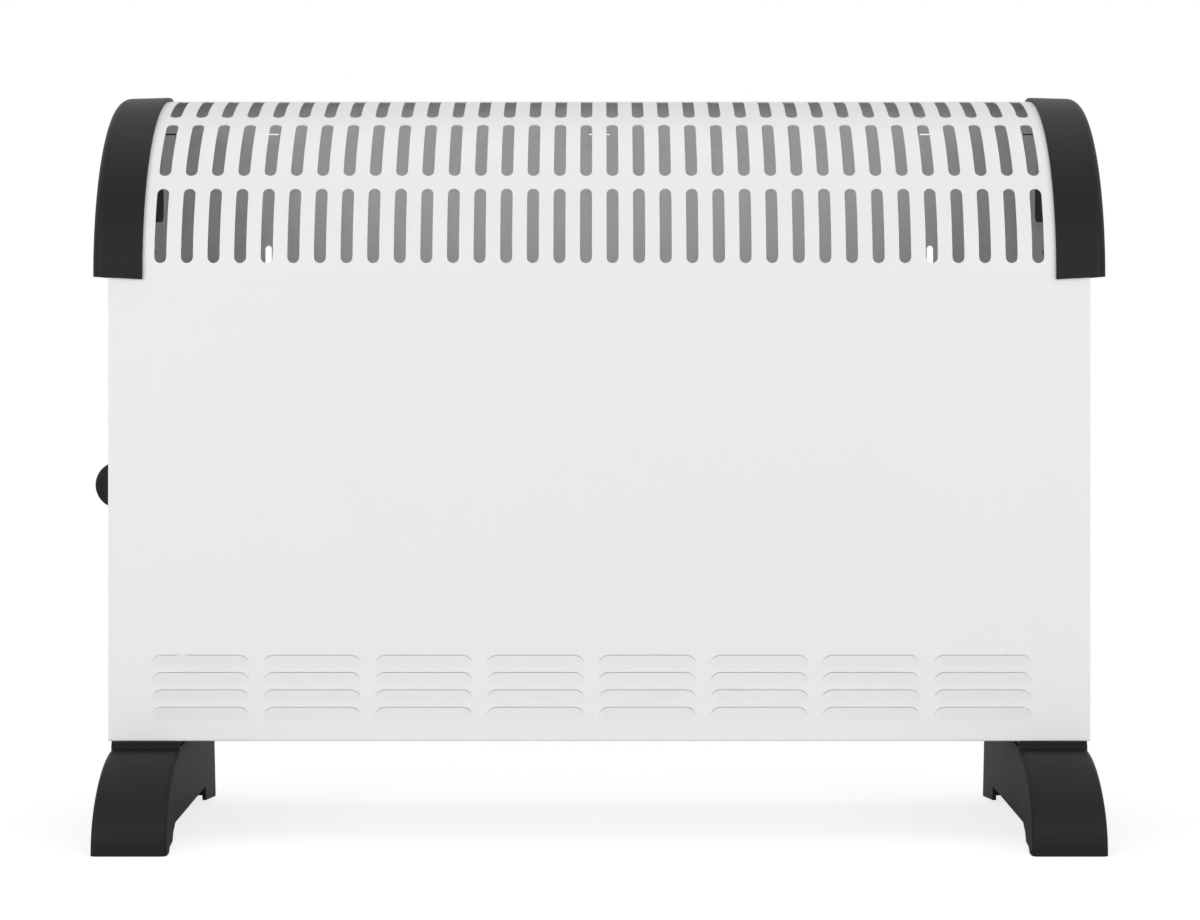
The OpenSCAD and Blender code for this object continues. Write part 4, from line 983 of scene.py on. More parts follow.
@dataclass
class FrontSheet:
    """The front, curve, top and rear strip: one sheet with slots and pressed louvres."""

    form: BodyForm
    slots: int = 34
    slot_rows: int = 3
    slot_pitch: float = 0.0155
    slot_w: float = 0.007
    row_start: float = 3.9
    slot_deg: float = 24.0
    row_deg: float = 28.65
    louvres: int = 8
    louvre_rows: int = 4
    louvre_pitch: float = 0.0651
    louvre_step: float = 0.0101
    louvre_w: float = 0.0577
    louvre_h: float = 0.0074
    louvre_r: float = 0.0064
    louvre_lift: float = 0.0014
    louvre_slit: float = 0.0002
    louvre_level: float = 0.050
    louvre_shift: float = -0.0045
    side_fade: float = 0.0035
    flange: float = 0.012
    strip_fall: float = 0.0187
    hood_power: float = 1.15
    upper_share: float = 0.4
    field_gap: float = 0.0015
    edge: float = 0.00022
    edge_deg: float = 55.0
    columns: int = 44
    end_steps: int = 8
    straight_steps: int = 11
    bend_steps: int = 8
    flat_steps: int = 4
    hood_steps: int = 6

    def _slot_tile(self) -> tuple:
        """One slot with the sheet round it, as a flat tile around its own middle.

        Returns:
            Points and faces.
        """
        half, pitch, step = self.slot_w / 2, self.slot_pitch / 2, self._row_step / 2
        reach = self.form.curve_r * math.radians(self.slot_deg) / 2 - half
        points: list[Point] = []
        faces: list[tuple] = []

        def row(line: Sequence[Flat]) -> list[int]:
            """Adds a line of points and gives their indexes."""
            points.extend((x, y, 0.0) for x, y in line)
            return list(range(len(points) - len(line), len(points)))

        straight = [reach * (2 * i / self.straight_steps - 1) for i in range(self.straight_steps + 1)]
        for side in (-1, 1):
            rim = [row([(side * half, y), (side * pitch, y)]) for y in straight]
            for (a, b), (c, d) in zip(rim, rim[1:]):
                faces.append((a, b, d, c) if side > 0 else (a, c, d, b))
        turns = [math.pi * j / self.end_steps for j in range(self.end_steps + 1)]
        for side in (-1, 1):
            cap = row([(-half * math.cos(t), side * (reach + half * math.sin(t))) for t in turns])
            edge = row([(-pitch * math.cos(t), side * step) for t in turns])
            corners = row([(-pitch, side * reach), (pitch, side * reach)])
            quads = [(cap[j], cap[j + 1], edge[j + 1], edge[j]) for j in range(self.end_steps)]
            quads += [(corners[0], cap[0], edge[0]), (cap[-1], corners[1], edge[-1])]
            faces += quads if side > 0 else [tuple(reversed(q)) for q in quads]
        return points, faces

    def _hood(self, x: float, y: float) -> float:
        """Height of a louvre over the sheet.

        Args:
            x: Distance from the middle of the louvre.
            y: Distance above its lower edge.

        Returns:
            The height.
        """
        near = min(1.0, max(0.0, (self.louvre_w / 2 - abs(x)) / self.side_fade))
        share = min(1.0, max(0.0, y / self.louvre_h))
        return self.louvre_lift * near * near * (3 - 2 * near) * share ** self.hood_power

    def _louvre_tile(self) -> tuple:
        """One louvre with the sheet round it, slit along its upper edge, from the tile's lower middle.

        Returns:
            Points and faces.
        """
        wide, radius, margin = self.louvre_w / 2, self.louvre_r, (self.louvre_step - self.louvre_h) / 2
        bends = [radius * math.sin(QUARTER * i / self.bend_steps) for i in range(self.bend_steps + 1)]
        flats = [(wide - radius) * k / self.flat_steps for k in range(self.flat_steps)]
        right = [*flats, *(wide - radius + b for b in bends)]
        lines = [-x for x in reversed(right[1:])] + right
        top = margin + self.louvre_h
        points: list[Point] = []
        faces: list[tuple] = []
        columns: list[tuple[list[int], list[int]]] = []
        for x in lines:
            past = max(0.0, abs(x) - wide + radius)
            crest = top - radius + math.sqrt(max(0.0, radius ** 2 - past ** 2))
            hood = [margin + (crest - margin) * k / self.hood_steps for k in range(self.hood_steps + 1)]
            lower = [0.0, *hood]
            edge = crest + self.louvre_slit * min(1.0, (wide - abs(x)) / self.side_fade)
            upper = [edge, edge + (self.louvre_step - edge) * self.upper_share, self.louvre_step]
            first = len(points)
            points += [(x, y, self._hood(x, y - margin)) for y in lower]
            points += [(x, y, 0.0) for y in upper]
            middle = first + len(lower)
            columns.append((list(range(first, middle)), list(range(middle, len(points)))))
        for (a, c), (b, d) in zip(columns, columns[1:]):
            for left, side in ((a, b), (c, d)):
                faces += [(left[k], side[k], side[k + 1], left[k + 1]) for k in range(len(left) - 1)]
        pitch = self.louvre_pitch / 2
        for side, (lower, upper) in ((-1, columns[0]), (1, columns[-1])):
            points += [(side * pitch, 0.0, 0.0), (side * pitch, self.louvre_step, 0.0)]
            loop = [*lower, *upper[1:], len(points) - 1, len(points) - 2]
            faces.append(tuple(loop) if side < 0 else tuple(reversed(loop)))
        return points, faces

    @property
    def _row_step(self) -> float:
        """Distance between two rows of slots along the blank."""
        return self.form.curve_r * math.radians(self.row_deg)

    def _grille(self) -> tuple[bpy.types.Object, Box]:
        """The field of slots and the rectangle of the blank that it covers.

        Returns:
            The field, and its lowest and highest X and Y.
        """
        first = self.form.curve_r * math.radians(self.row_start + self.slot_deg / 2)
        tile = Bench.piece("grille", *self._slot_tile(), Finishes.WHITE)
        grille = Bench.grow(tile, Grow.field(), {
            "Columns": self.slots, "Rows": self.slot_rows, "Pitch": self.slot_pitch, "Step": self._row_step,
            "Material": Finishes.get(Finishes.WHITE)})
        left = -(self.slots - 1) / 2 * self.slot_pitch
        Bench.place(grille, Matrix.Translation((left, first, 0.0)))
        wide = self.slots * self.slot_pitch / 2
        low = first - self._row_step / 2
        return grille, (-wide, low, wide, low + self.slot_rows * self._row_step)

    def _louvre_field(self) -> tuple[bpy.types.Object, Box]:
        """The field of louvres and the rectangle of the blank that it covers.

        Returns:
            The field, and its lowest and highest X and Y.
        """
        tile = Bench.piece("louvres", *self._louvre_tile(), Finishes.WHITE)
        louvres = Bench.grow(tile, Grow.field(), {
            "Columns": self.louvres, "Rows": self.louvre_rows, "Pitch": self.louvre_pitch,
            "Step": self.louvre_step, "Material": Finishes.get(Finishes.WHITE)})
        margin = (self.louvre_step - self.louvre_h) / 2
        high = self.form.low.z + self.louvre_level - self.form.spring + margin
        low = high - self.louvre_rows * self.louvre_step
        left = self.louvre_shift - (self.louvres - 1) / 2 * self.louvre_pitch
        Bench.place(louvres, Matrix.Translation((left, low, 0.0)))
        wide = self.louvres * self.louvre_pitch / 2
        return louvres, (self.louvre_shift - wide, low, self.louvre_shift + wide, high)

    @staticmethod
    def _border(obj: bpy.types.Object, box: Box) -> list[Flat]:
        """The points of a field that lie on its rectangle, in order round it.

        Args:
            obj: The field.
            box: Its rectangle.

        Returns:
            The points, anticlockwise.
        """
        x0, y0, x1, y1 = box
        flat = {(round(v.co.x, 6), round(v.co.y, 6)) for v in obj.data.vertices}
        near = WELD / 4
        lower = sorted(p for p in flat if abs(p[1] - y0) < near)
        right = sorted((p for p in flat if abs(p[0] - x1) < near), key=lambda p: p[1])
        upper = sorted((p for p in flat if abs(p[1] - y1) < near), reverse=True)
        left = sorted((p for p in flat if abs(p[0] - x0) < near), key=lambda p: -p[1])
        return list(dict.fromkeys([*lower, *right, *upper, *left]))

    def build(self) -> None:
        """Builds the whole sheet: both fields, the plain sheet round them, the bends, wall and edges."""
        form = self.form
        grille, slot_box = self._grille()
        louvres, louvre_box = self._louvre_field()
        start = form.fold_at - form.fold_r * QUARTER - (self.flange - form.fold_r)
        end = form.corner_end + self.strip_fall - form.corner_r
        levels = form.levels(start, end)
        columns = [form.half * (2 * i / self.columns - 1) for i in range(self.columns + 1)]
        outline = [(x, start) for x in columns] + [(form.half, y) for y in levels[1:-1]]
        outline += [(x, end) for x in reversed(columns)] + [(-form.half, y) for y in reversed(levels[1:-1])]
        fields = (slot_box, louvre_box)

        def free(x: float, y: float, gap: float = 0.0) -> bool:
            """Whether a place lies outside both fields and the gap round them."""
            return not any(a - gap < x < c + gap and b - gap < y < d + gap for a, b, c, d in fields)

        inner = [(x, y) for x in columns[1:-1] for y in levels[1:-1] if free(x, y, self.field_gap)]
        loops = [outline, self._border(grille, slot_box), self._border(louvres, louvre_box)]
        points, faces = Shape.fill(loops, inner, free)
        plain = Bench.piece("plain", [(x, y, 0.0) for x, y in points], faces, Finishes.WHITE)
        sheet = Bench.join("front_sheet", [plain, grille, louvres])
        Bench.weld(sheet)
        form.wrap(sheet, Finishes.WHITE)
        Bench.finish(sheet, wall=form.sheet, edge=self.edge, angle=self.edge_deg)
        Bench.settle(sheet, "heater", "white_coat", "front_panel")


@dataclass
class EndCap:
    """A moulded cap over one end of the curve, with a finger recess in its outer face."""

    form: BodyForm
    side: int
    width: float = 0.0295
    out: float = 0.0095
    proud: float = 0.0024
    wall: float = 0.0007
    gap: float = 0.0002
    radius: float = 0.0065
    draft_deg: float = 1.5
    slant_deg: float = 3.0
    slant_run: float = 0.020
    tail: float = 0.002
    lip_r: float = 0.0007
    grip_w: float = 0.070
    grip_h: float = 0.028
    grip_deep: float = 0.024
    grip_level: float = 0.037
    grip_back: float = 0.072
    grip_r: float = 0.005
    grip_draft: float = 0.0008
    edge: float = 0.0005
    edge_steps: int = 3
    lip_steps: int = 3
    shoulder_steps: int = 14

    @property
    def outer(self) -> float:
        """Distance of the outer face from the middle."""
        return self.form.half + self.out

    def _rise(self, x: float) -> float:
        """How far the slanted lower rim has risen at a distance from the middle."""
        return (x - self.outer + self.width) * math.tan(math.radians(self.slant_deg))

    def _section(self) -> list[Flat]:
        """Section from the inner lip over the sloping band and round into the outer face.

        Returns:
            Distance from the middle and height over the sheet of its points.
        """
        inner, draft = self.outer - self.width, math.radians(self.draft_deg)
        turn = self.outer - self.radius
        center = self.proud - (turn - inner) * math.tan(draft) - self.radius / math.cos(draft)
        top = 90 - self.draft_deg
        lip = Shape.arc((inner + self.lip_r, self.proud - self.lip_r), self.lip_r, 180, top, self.lip_steps)
        shoulder = Shape.arc((turn, center), self.radius, top, 0, self.shoulder_steps)
        return [(inner, self.gap), *lip, *shoulder]

    def build(self) -> None:
        """Builds the band, the outer face with its recess, the floor, and the walls."""
        form, which = self.form, end_of(self.side)
        section = self._section()
        fall = form.spring - self.tail
        end = form.corner_end + form.high.z - form.corner_r - fall
        levels = form.levels(-self.tail, end)
        count = len(section)
        points = [(x, s, h) for s in levels for x, h in section]
        starts = [i * count + j for i in range(len(levels) - 1) for j in range(count - 1)]
        faces = [(a, a + 1, a + count + 1, a + count) for a in starts]
        cap = form.wrap(Bench.piece("cap", points, faces, Finishes.BLACK), Finishes.BLACK)
        low = cap.data.vertices[0].co.z
        for vertex in cap.data.vertices:
            vertex.co.z += self._rise(vertex.co.x) * max(0.0, 1 - (vertex.co.z - low) / self.slant_run)
        bent = [tuple(v.co) for v in cap.data.vertices]
        rows = [bent[i * count:(i + 1) * count] for i in range(len(levels))]
        ring = [(row[-1][1], row[-1][2]) for row in rows]
        parts = [cap, self._outer_face(ring), self._floor(rows[0], rows[-1])]
        piece = Bench.join(f"{which}_cap_shell", parts)
        Bench.weld(piece)
        if self.side < 0:
            Bench.place(piece, Matrix.Scale(-1, 4, (1, 0, 0)))
        Bench.finish(piece, wall=self.wall, edge=self.edge, angle=SOFT_DEG, steps=self.edge_steps)
        Bench.settle(piece, "heater", "black_plastic", f"{which}_end_cap")

    def _outer_face(self, ring: list[Flat]) -> bpy.types.Object:
        """The flat outer face and the recess in it.

        Args:
            ring: Y and Z round the face, from the front over the top to the back.

        Returns:
            The face with its recess.
        """
        middle_y = self.form.front + self.grip_back
        middle_z = self.form.spring - self.tail + self.grip_level + self.grip_h / 2
        rim = Shape.rounded(self.grip_w, self.grip_h, self.grip_r)
        mouth = [(middle_y + y, middle_z + z) for y, z in rim]
        outline = list(reversed(ring))
        flat, faces = Shape.fill(
            [outline, mouth], [],
            lambda y, z: Shape.inside(outline, y, z) and not Shape.inside(mouth, y, z))
        points: list[Point] = [(self.outer, y, z) for y, z in flat]
        half_w, half_h = self.grip_w / 2, self.grip_h / 2
        share_y, share_z = (half_w - self.grip_draft) / half_w, (half_h - self.grip_draft) / half_h
        base = [(middle_y + (y - middle_y) * share_y, middle_z + (z - middle_z) * share_z) for y, z in mouth]
        first, n = len(points), len(mouth)
        points += [(self.outer, y, z) for y, z in mouth]
        points += [(self.outer - self.grip_deep, y, z) for y, z in base]
        faces += Shape.band(first, n)
        faces.append(tuple(range(first + n, first + 2 * n)))
        return Bench.piece("outer_face", points, faces, Finishes.BLACK)

    def _floor(self, front: list[Point], back: list[Point]) -> bpy.types.Object:
        """The floor that closes the cap outside the body.

        Args:
            front: Lowest row of the band at the front.
            back: Lowest row of the band at the back.

        Returns:
            The floor.
        """
        form = self.form
        clear = form.half + self.gap
        level = front[0][2]
        loop = [*front, *reversed(back)]
        loop += [(clear, form.rear + self.gap, level), (clear, form.front - self.gap, level)]
        flat = [(p[0], p[1]) for p in loop]
        points, faces = Shape.fill([flat], [], lambda x, y: Shape.inside(flat, x, y))
        slanted = [(x, y, level + self._rise(x)) for x, y in points]
        return Bench.piece("floor", slanted, [tuple(reversed(f)) for f in faces], Finishes.BLACK)


@dataclass
class Foot:
    """A moulded foot: an arched shell with ribs and bosses inside and a neck under the body."""

    form: BodyForm
    side: int
    middle: float = 0.2646
    width: float = 0.041
    spread: float = 0.0011
    top: float = 0.0518
    toe_reach: float = 0.057
    heel_out: float = 0.017
    toe_run: float = 0.065
    toe_tip: float = 0.006
    toe_pad: float = 0.010
    heel_pad: float = 0.005
    heel_w: float = 0.044
    arch_h: float = 0.0128
    arch_run: float = 0.025
    neck_in: float = 0.0006
    neck_step: float = 0.0020
    neck_set: float = 0.0009
    neck_r: float = 0.0015
    neck_inner_r: float = 0.0006
    neck_edge: float = 0.0004
    wall: float = 0.0024
    rib: float = 0.0016
    rib_edge: float = 0.0002
    edge: float = 0.0030
    edge_gap: float = 0.0004
    rim_edge: float = 0.0003
    boss_r: float = 0.005
    bore_r: float = 0.00215
    boss_z: float = 0.024
    boss_front: float = 0.025
    boss_rear: float = 0.016
    rib_rise: float = 0.004
    rib_shares: tuple[float, ...] = (0.3, 0.5, 0.72)
    heel_notch_share: float = 0.34
    arch_shares: tuple[Flat, ...] = ((1.0, 1.0), (0.66, 0.65), (0.54, 0.32), (0.12, 0.21))
    toe_steps: int = 26
    corner_steps: int = 6
    edge_steps: int = 4
    neck_steps: int = 4
    boss_steps: int = 28

    @property
    def toe(self) -> float:
        """Y of the toe."""
        return self.form.front - self.toe_reach

    @property
    def heel(self) -> float:
        """Y of the heel."""
        return self.form.rear + self.heel_out

    def _path(self, inset: float, radius: float) -> list[tuple[Flat, Flat]]:
        """The way round toe, top and heel, with the outward direction at each point.

        Args:
            inset: How far it lies inside the foot.
            radius: Radius of the heel's upper corner.

        Returns:
            Places and directions, both as Y and Z.
        """
        toe, heel, top = self.toe + inset, self.heel - inset, self.top - inset
        run, rise = self.toe_run - inset, top - self.toe_tip
        way = [((toe, 0.0), (-1.0, 0.0))]
        bows = (
            ((toe + run, self.toe_tip), (run, rise), 180, self.toe_steps),
            ((heel - radius, top - radius), (radius, radius), 90, self.corner_steps))
        for center, (along, up), start, steps in bows:
            for k in range(steps + 1):
                a = math.radians(start - 90 * k / steps)
                out = Vector((math.cos(a) / along, math.sin(a) / up)).normalized()
                way.append(((center[0] + along * math.cos(a), center[1] + up * math.sin(a)), tuple(out)))
        way.append(((heel, 0.0), (1.0, 0.0)))
        return way

    def _arch(self) -> list[Flat]:
        """The arch's line from the heel pad to the toe pad.

        Returns:
            Its points as Y and Z.
        """
        heel_start, toe_end = self.heel - self.heel_w, self.toe + self.toe_pad
        notch = self.heel_notch_share * self.arch_h
        line = [(self.heel - self.heel_pad, 0.0), (heel_start, notch), (heel_start, self.arch_h)]
        line += [(toe_end + run * self.arch_run, rise * self.arch_h) for run, rise in self.arch_shares]
        return [*line, (toe_end, 0.0)]

    def _skin(self, inset: float, radius: float) -> tuple[list[Point], list[tuple], list[int]]:
        """One skin of the shell, open below.

        Args:
            inset: How far it lies inside the foot.
            radius: Radius of its long edges.

        Returns:
            Its points, its faces, and the points round its open side.
        """
        turns = [QUARTER * k / self.edge_steps for k in range(self.edge_steps + 1)]
        rows: list[list[int]] = []
        points: list[Point] = []
        for (y, z), (ny, nz) in self._path(inset, radius + self.edge_gap):
            row = []
            for side, order in ((-1, turns), (1, list(reversed(turns)))):
                for turn in order:
                    sink = radius * (1 - math.sin(turn))
                    x = self._half(z) - inset - radius * (1 - math.cos(turn))
                    row.append((side * x, y - ny * sink, z - nz * sink))
            rows.append(list(range(len(points), len(points) + len(row))))
            points += row
        across = len(rows[0]) - 1
        faces = [(a[k], a[k + 1], b[k + 1], b[k]) for a, b in zip(rows, rows[1:]) for k in range(across)]
        arch = self._arch()
        rims: list[list[int]] = []
        for side, column in ((-1, 0), (1, -1)):
            ring = [rows[k][column] for k in range(len(rows))]
            first = len(points)
            points += [(side * (self._half(z) - inset), y, z) for y, z in arch]
            rims.append(list(range(first, first + len(arch))))
            loop = [(points[i][1], points[i][2]) for i in (*ring, *rims[-1])]
            flat, fill = Shape.fill([loop], [], lambda y, z: Shape.inside(loop, y, z))
            start = len(points)
            points += [(side * (self._half(z) - inset), y, z) for y, z in flat]
            faces += [tuple(start + i for i in (f if side > 0 else reversed(f))) for f in fill]
        border = [*rows[0], *reversed(rims[1]), *reversed(rows[-1]), *rims[0]]
        return points, faces, border

    def _shell(self) -> bpy.types.Object:
        """The shell: an outer and an inner skin, joined round the open underside.

        Returns:
            The shell with eased edges.
        """
        points, faces, outer = self._skin(0.0, self.edge)
        lining, inside, inner = self._skin(self.wall, self.edge / 3)
        first = len(points)
        points += lining
        faces += [tuple(first + i for i in reversed(face)) for face in inside]
        for i in range(len(outer)):
            after = (i + 1) % len(outer)
            faces.append((outer[after], outer[i], first + inner[i], first + inner[after]))
        return Bench.finish(Bench.piece("shell", points, faces, Finishes.BLACK), edge=self.rim_edge)

    def _half(self, z: float) -> float:
        """Half the width of the foot at a height."""
        return self.width / 2 + self.spread * (1 - z / self.top)

    def _neck(self) -> bpy.types.Object:
        """The neck that stands in a little and meets the body.

        Returns:
            The neck.
        """
        step = self.form.low.z - self.neck_step
        tiers = [
            self._tier(0.0, self.top - 2 * self.wall, step),
            self._tier(self.neck_set, step - self.wall, self.form.low.z)]
        return Bench.join("neck", tiers)

    def _tier(self, inset: float, low: float, high: float) -> bpy.types.Object:
        """One tier of the neck: a ring of wall with rounded corners.

        Args:
            inset: How far it stands in at the front and the back.
            low: Its lower edge.
            high: Its upper edge.

        Returns:
            The tier.
        """
        half = self.width / 2 - self.neck_in
        deep = (self.form.rear - self.form.front) / 2 - inset
        middle = (self.form.rear + self.form.front) / 2
        outer = Shape.rounded(2 * half, 2 * deep, self.neck_r, self.neck_steps)
        inner = Shape.rounded(
            2 * (half - self.wall), 2 * (deep - self.wall), self.neck_inner_r, self.neck_steps)
        n = len(outer)
        points = [(x, middle + y, z) for z in (low, high) for x, y in (*outer, *inner)]
        faces = []
        for i in range(n):
            j = (i + 1) % n
            faces += [
                (i, j, 2 * n + j, 2 * n + i),
                (n + j, n + i, 3 * n + i, 3 * n + j),
                (j, i, n + i, n + j),
                (2 * n + i, 2 * n + j, 3 * n + j, 3 * n + i)]
        return Bench.finish(Bench.piece("tier", points, faces, Finishes.BLACK), edge=self.neck_edge)

    def _inside(self) -> bpy.types.Object:
        """Ribs and bosses, with the ribs repeated along the foot by a tree.

        Returns:
            The ribs and bosses as one object.
        """
        ceiling = self.top - self.wall / 2
        half = self.width / 2 - self.wall / 2
        box = Shape.slab(half, -self.rib / 2, self.rib / 2)
        rib = Bench.piece("rib", *Shape.raised(box, self.arch_h + self.rib_rise, ceiling), Finishes.BLACK)
        places = [(0.0, self.toe + share * (self.heel - self.toe), 0.0) for share in self.rib_shares]
        Bench.finish(rib, edge=self.rib_edge)
        ribs = Bench.copies("ribs", rib, places, (0.0, 0.0, 1.0), Finishes.BLACK)
        bosses = [self.form.front + self.boss_front, self.form.rear - self.boss_rear]
        spine = Shape.slab(self.rib / 2, *bosses)
        parts = [ribs, Bench.piece("spine", *Shape.raised(spine, self.boss_z, ceiling), Finishes.BLACK)]
        low, high = self.boss_z, self.form.low.z
        profile = [(self.bore_r, low), (self.boss_r, low), (self.boss_r, high), (self.bore_r, high),
                   (self.bore_r, low)]
        for y in bosses:
            boss = Bench.piece("boss", *Shape.turned(profile, self.boss_steps), Finishes.BLACK)
            Bench.finish(boss, edge=self.rib_edge)
            parts.append(Bench.place(boss, Matrix.Translation((0.0, y, 0.0))))
        return Bench.join("inside", parts)

    def build(self) -> None:
        """Builds the foot on its side of the heater."""
        which = end_of(self.side)
        foot = Bench.join(f"{which}_foot_shell", [self._shell(), self._neck(), self._inside()])
        Bench.place(foot, Matrix.Translation((self.side * self.middle, 0.0, 0.0)))
        Bench.settle(foot, "heater", "black_plastic", f"{which}_foot")


@dataclass
class Screws:
    """Pan-head screws of one node, with a cross recess, repeated on points by a tree."""

    node: str
    facing: Point
    head_r: float = 0.0034
    head_h: float = 0.0018
    shank_r: float = 0.00175
    length: float = 0.009
    recess_w: float = 0.0009
    recess_l: float = 0.0036
    recess_deep: float = 0.0011
    solid_head_h: float = 0.0018
    apart: float = 0.02
    crown_share: float = 0.72
    recess_share: float = 0.8
    near_share: float = 2.5
    tip_shares: tuple[Flat, ...] = ((0.6, 1.0), (1.0, 0.88))
    head_shares: tuple[Flat, ...] = ((1.0, 0.0), (1.0, 0.35), (0.94, 0.72), (0.84, 0.92))
    sides: int = 24

    def _screw(self) -> bpy.types.Object:
        """One screw that points down from its head, head face towards +Z.

        Returns:
            The screw.
        """
        crown = self.crown_share * self.head_r
        shank = [(self.shank_r * wide, -self.length * deep) for wide, deep in self.tip_shares]
        bend = [(self.head_r * wide, self.head_h * high) for wide, high in self.head_shares]
        profile = [(0.0, -self.length), *shank, (self.shank_r, 0.0), *bend, (crown, self.head_h)]
        points, faces = Shape.turned(profile, self.sides)
        turns = [2 * math.pi * k / self.sides for k in range(self.sides)]
        rim = [(crown * math.cos(turn), crown * math.sin(turn)) for turn in turns]
        w, r = self.recess_w / 2, self.recess_l / 2
        cross = [
            (r, -w), (r, w), (w, w), (w, r), (-w, r), (-w, w),
            (-r, w), (-r, -w), (-w, -w), (-w, -r), (w, -r), (w, -w)]
        flat, top = Shape.fill([rim, cross], [], lambda x, y: not Shape.inside(cross, x, y))
        first = len(points)
        points += [(x, y, self.head_h) for x, y in flat]
        faces += [tuple(first + i for i in face) for face in top]
        first, n = len(points), len(cross)
        share, deep = self.recess_share, self.head_h - self.recess_deep
        points += [(x, y, self.head_h) for x, y in cross]
        points += [(x * share, y * share, deep) for x, y in cross]
        faces += Shape.band(first, n)
        faces.append(tuple(range(first + n, first + 2 * n)))
        return Bench.finish(Bench.piece("screw", points, faces, Finishes.SCREW))

    def build(self) -> None:
        """Puts a screw wherever the node's solid has one."""
        places = self._places(Vector(self.facing))
        spots = Bench.copies(f"{self.node}_set", self._screw(), places, self.facing, Finishes.SCREW)
        spots.data.shade_smooth()
        spots.data.set_sharp_from_angle(angle=math.radians(SHARP_DEG))
        Bench.settle(spots, "heater", "screw_steel", self.node)

    def _places(self, facing: Vector) -> list[Point]:
        """Where the heads of the node's screws sit.

        Args:
            facing: The way that their heads look.

        Returns:
            The middle of each head's seat.
        """
        spots: dict[tuple[int, int, int], list[Vector]] = {}
        corners = frame["nodes"][self.node].data.vertices
        tip = max(v.co.dot(facing) for v in corners)
        for vertex in corners:
            if vertex.co.dot(facing) > tip - self.solid_head_h / 3:
                key = tuple(round(c / self.apart) for c in vertex.co)
                spots.setdefault(key, []).append(vertex.co)
        groups: list[list[Vector]] = []
        for found in spots.values():
            near = [g for g in groups if (g[0] - found[0]).length < self.near_share * self.head_r]
            if near:
                near[0].extend(found)
            else:
                groups.append(list(found))
        places = []
        for group in groups:
            low, high = (Vector(map(pick, *group)) if len(group) > 1 else group[0] for pick in (min, max))
            middle = (low + high) / 2
            middle += facing * (tip - self.solid_head_h - middle.dot(facing))
            places.append(tuple(middle))
        return places


class Mark(Enum):
    """What is printed on a half of a rocker."""

    BAR = "bar"
    RING = "ring"


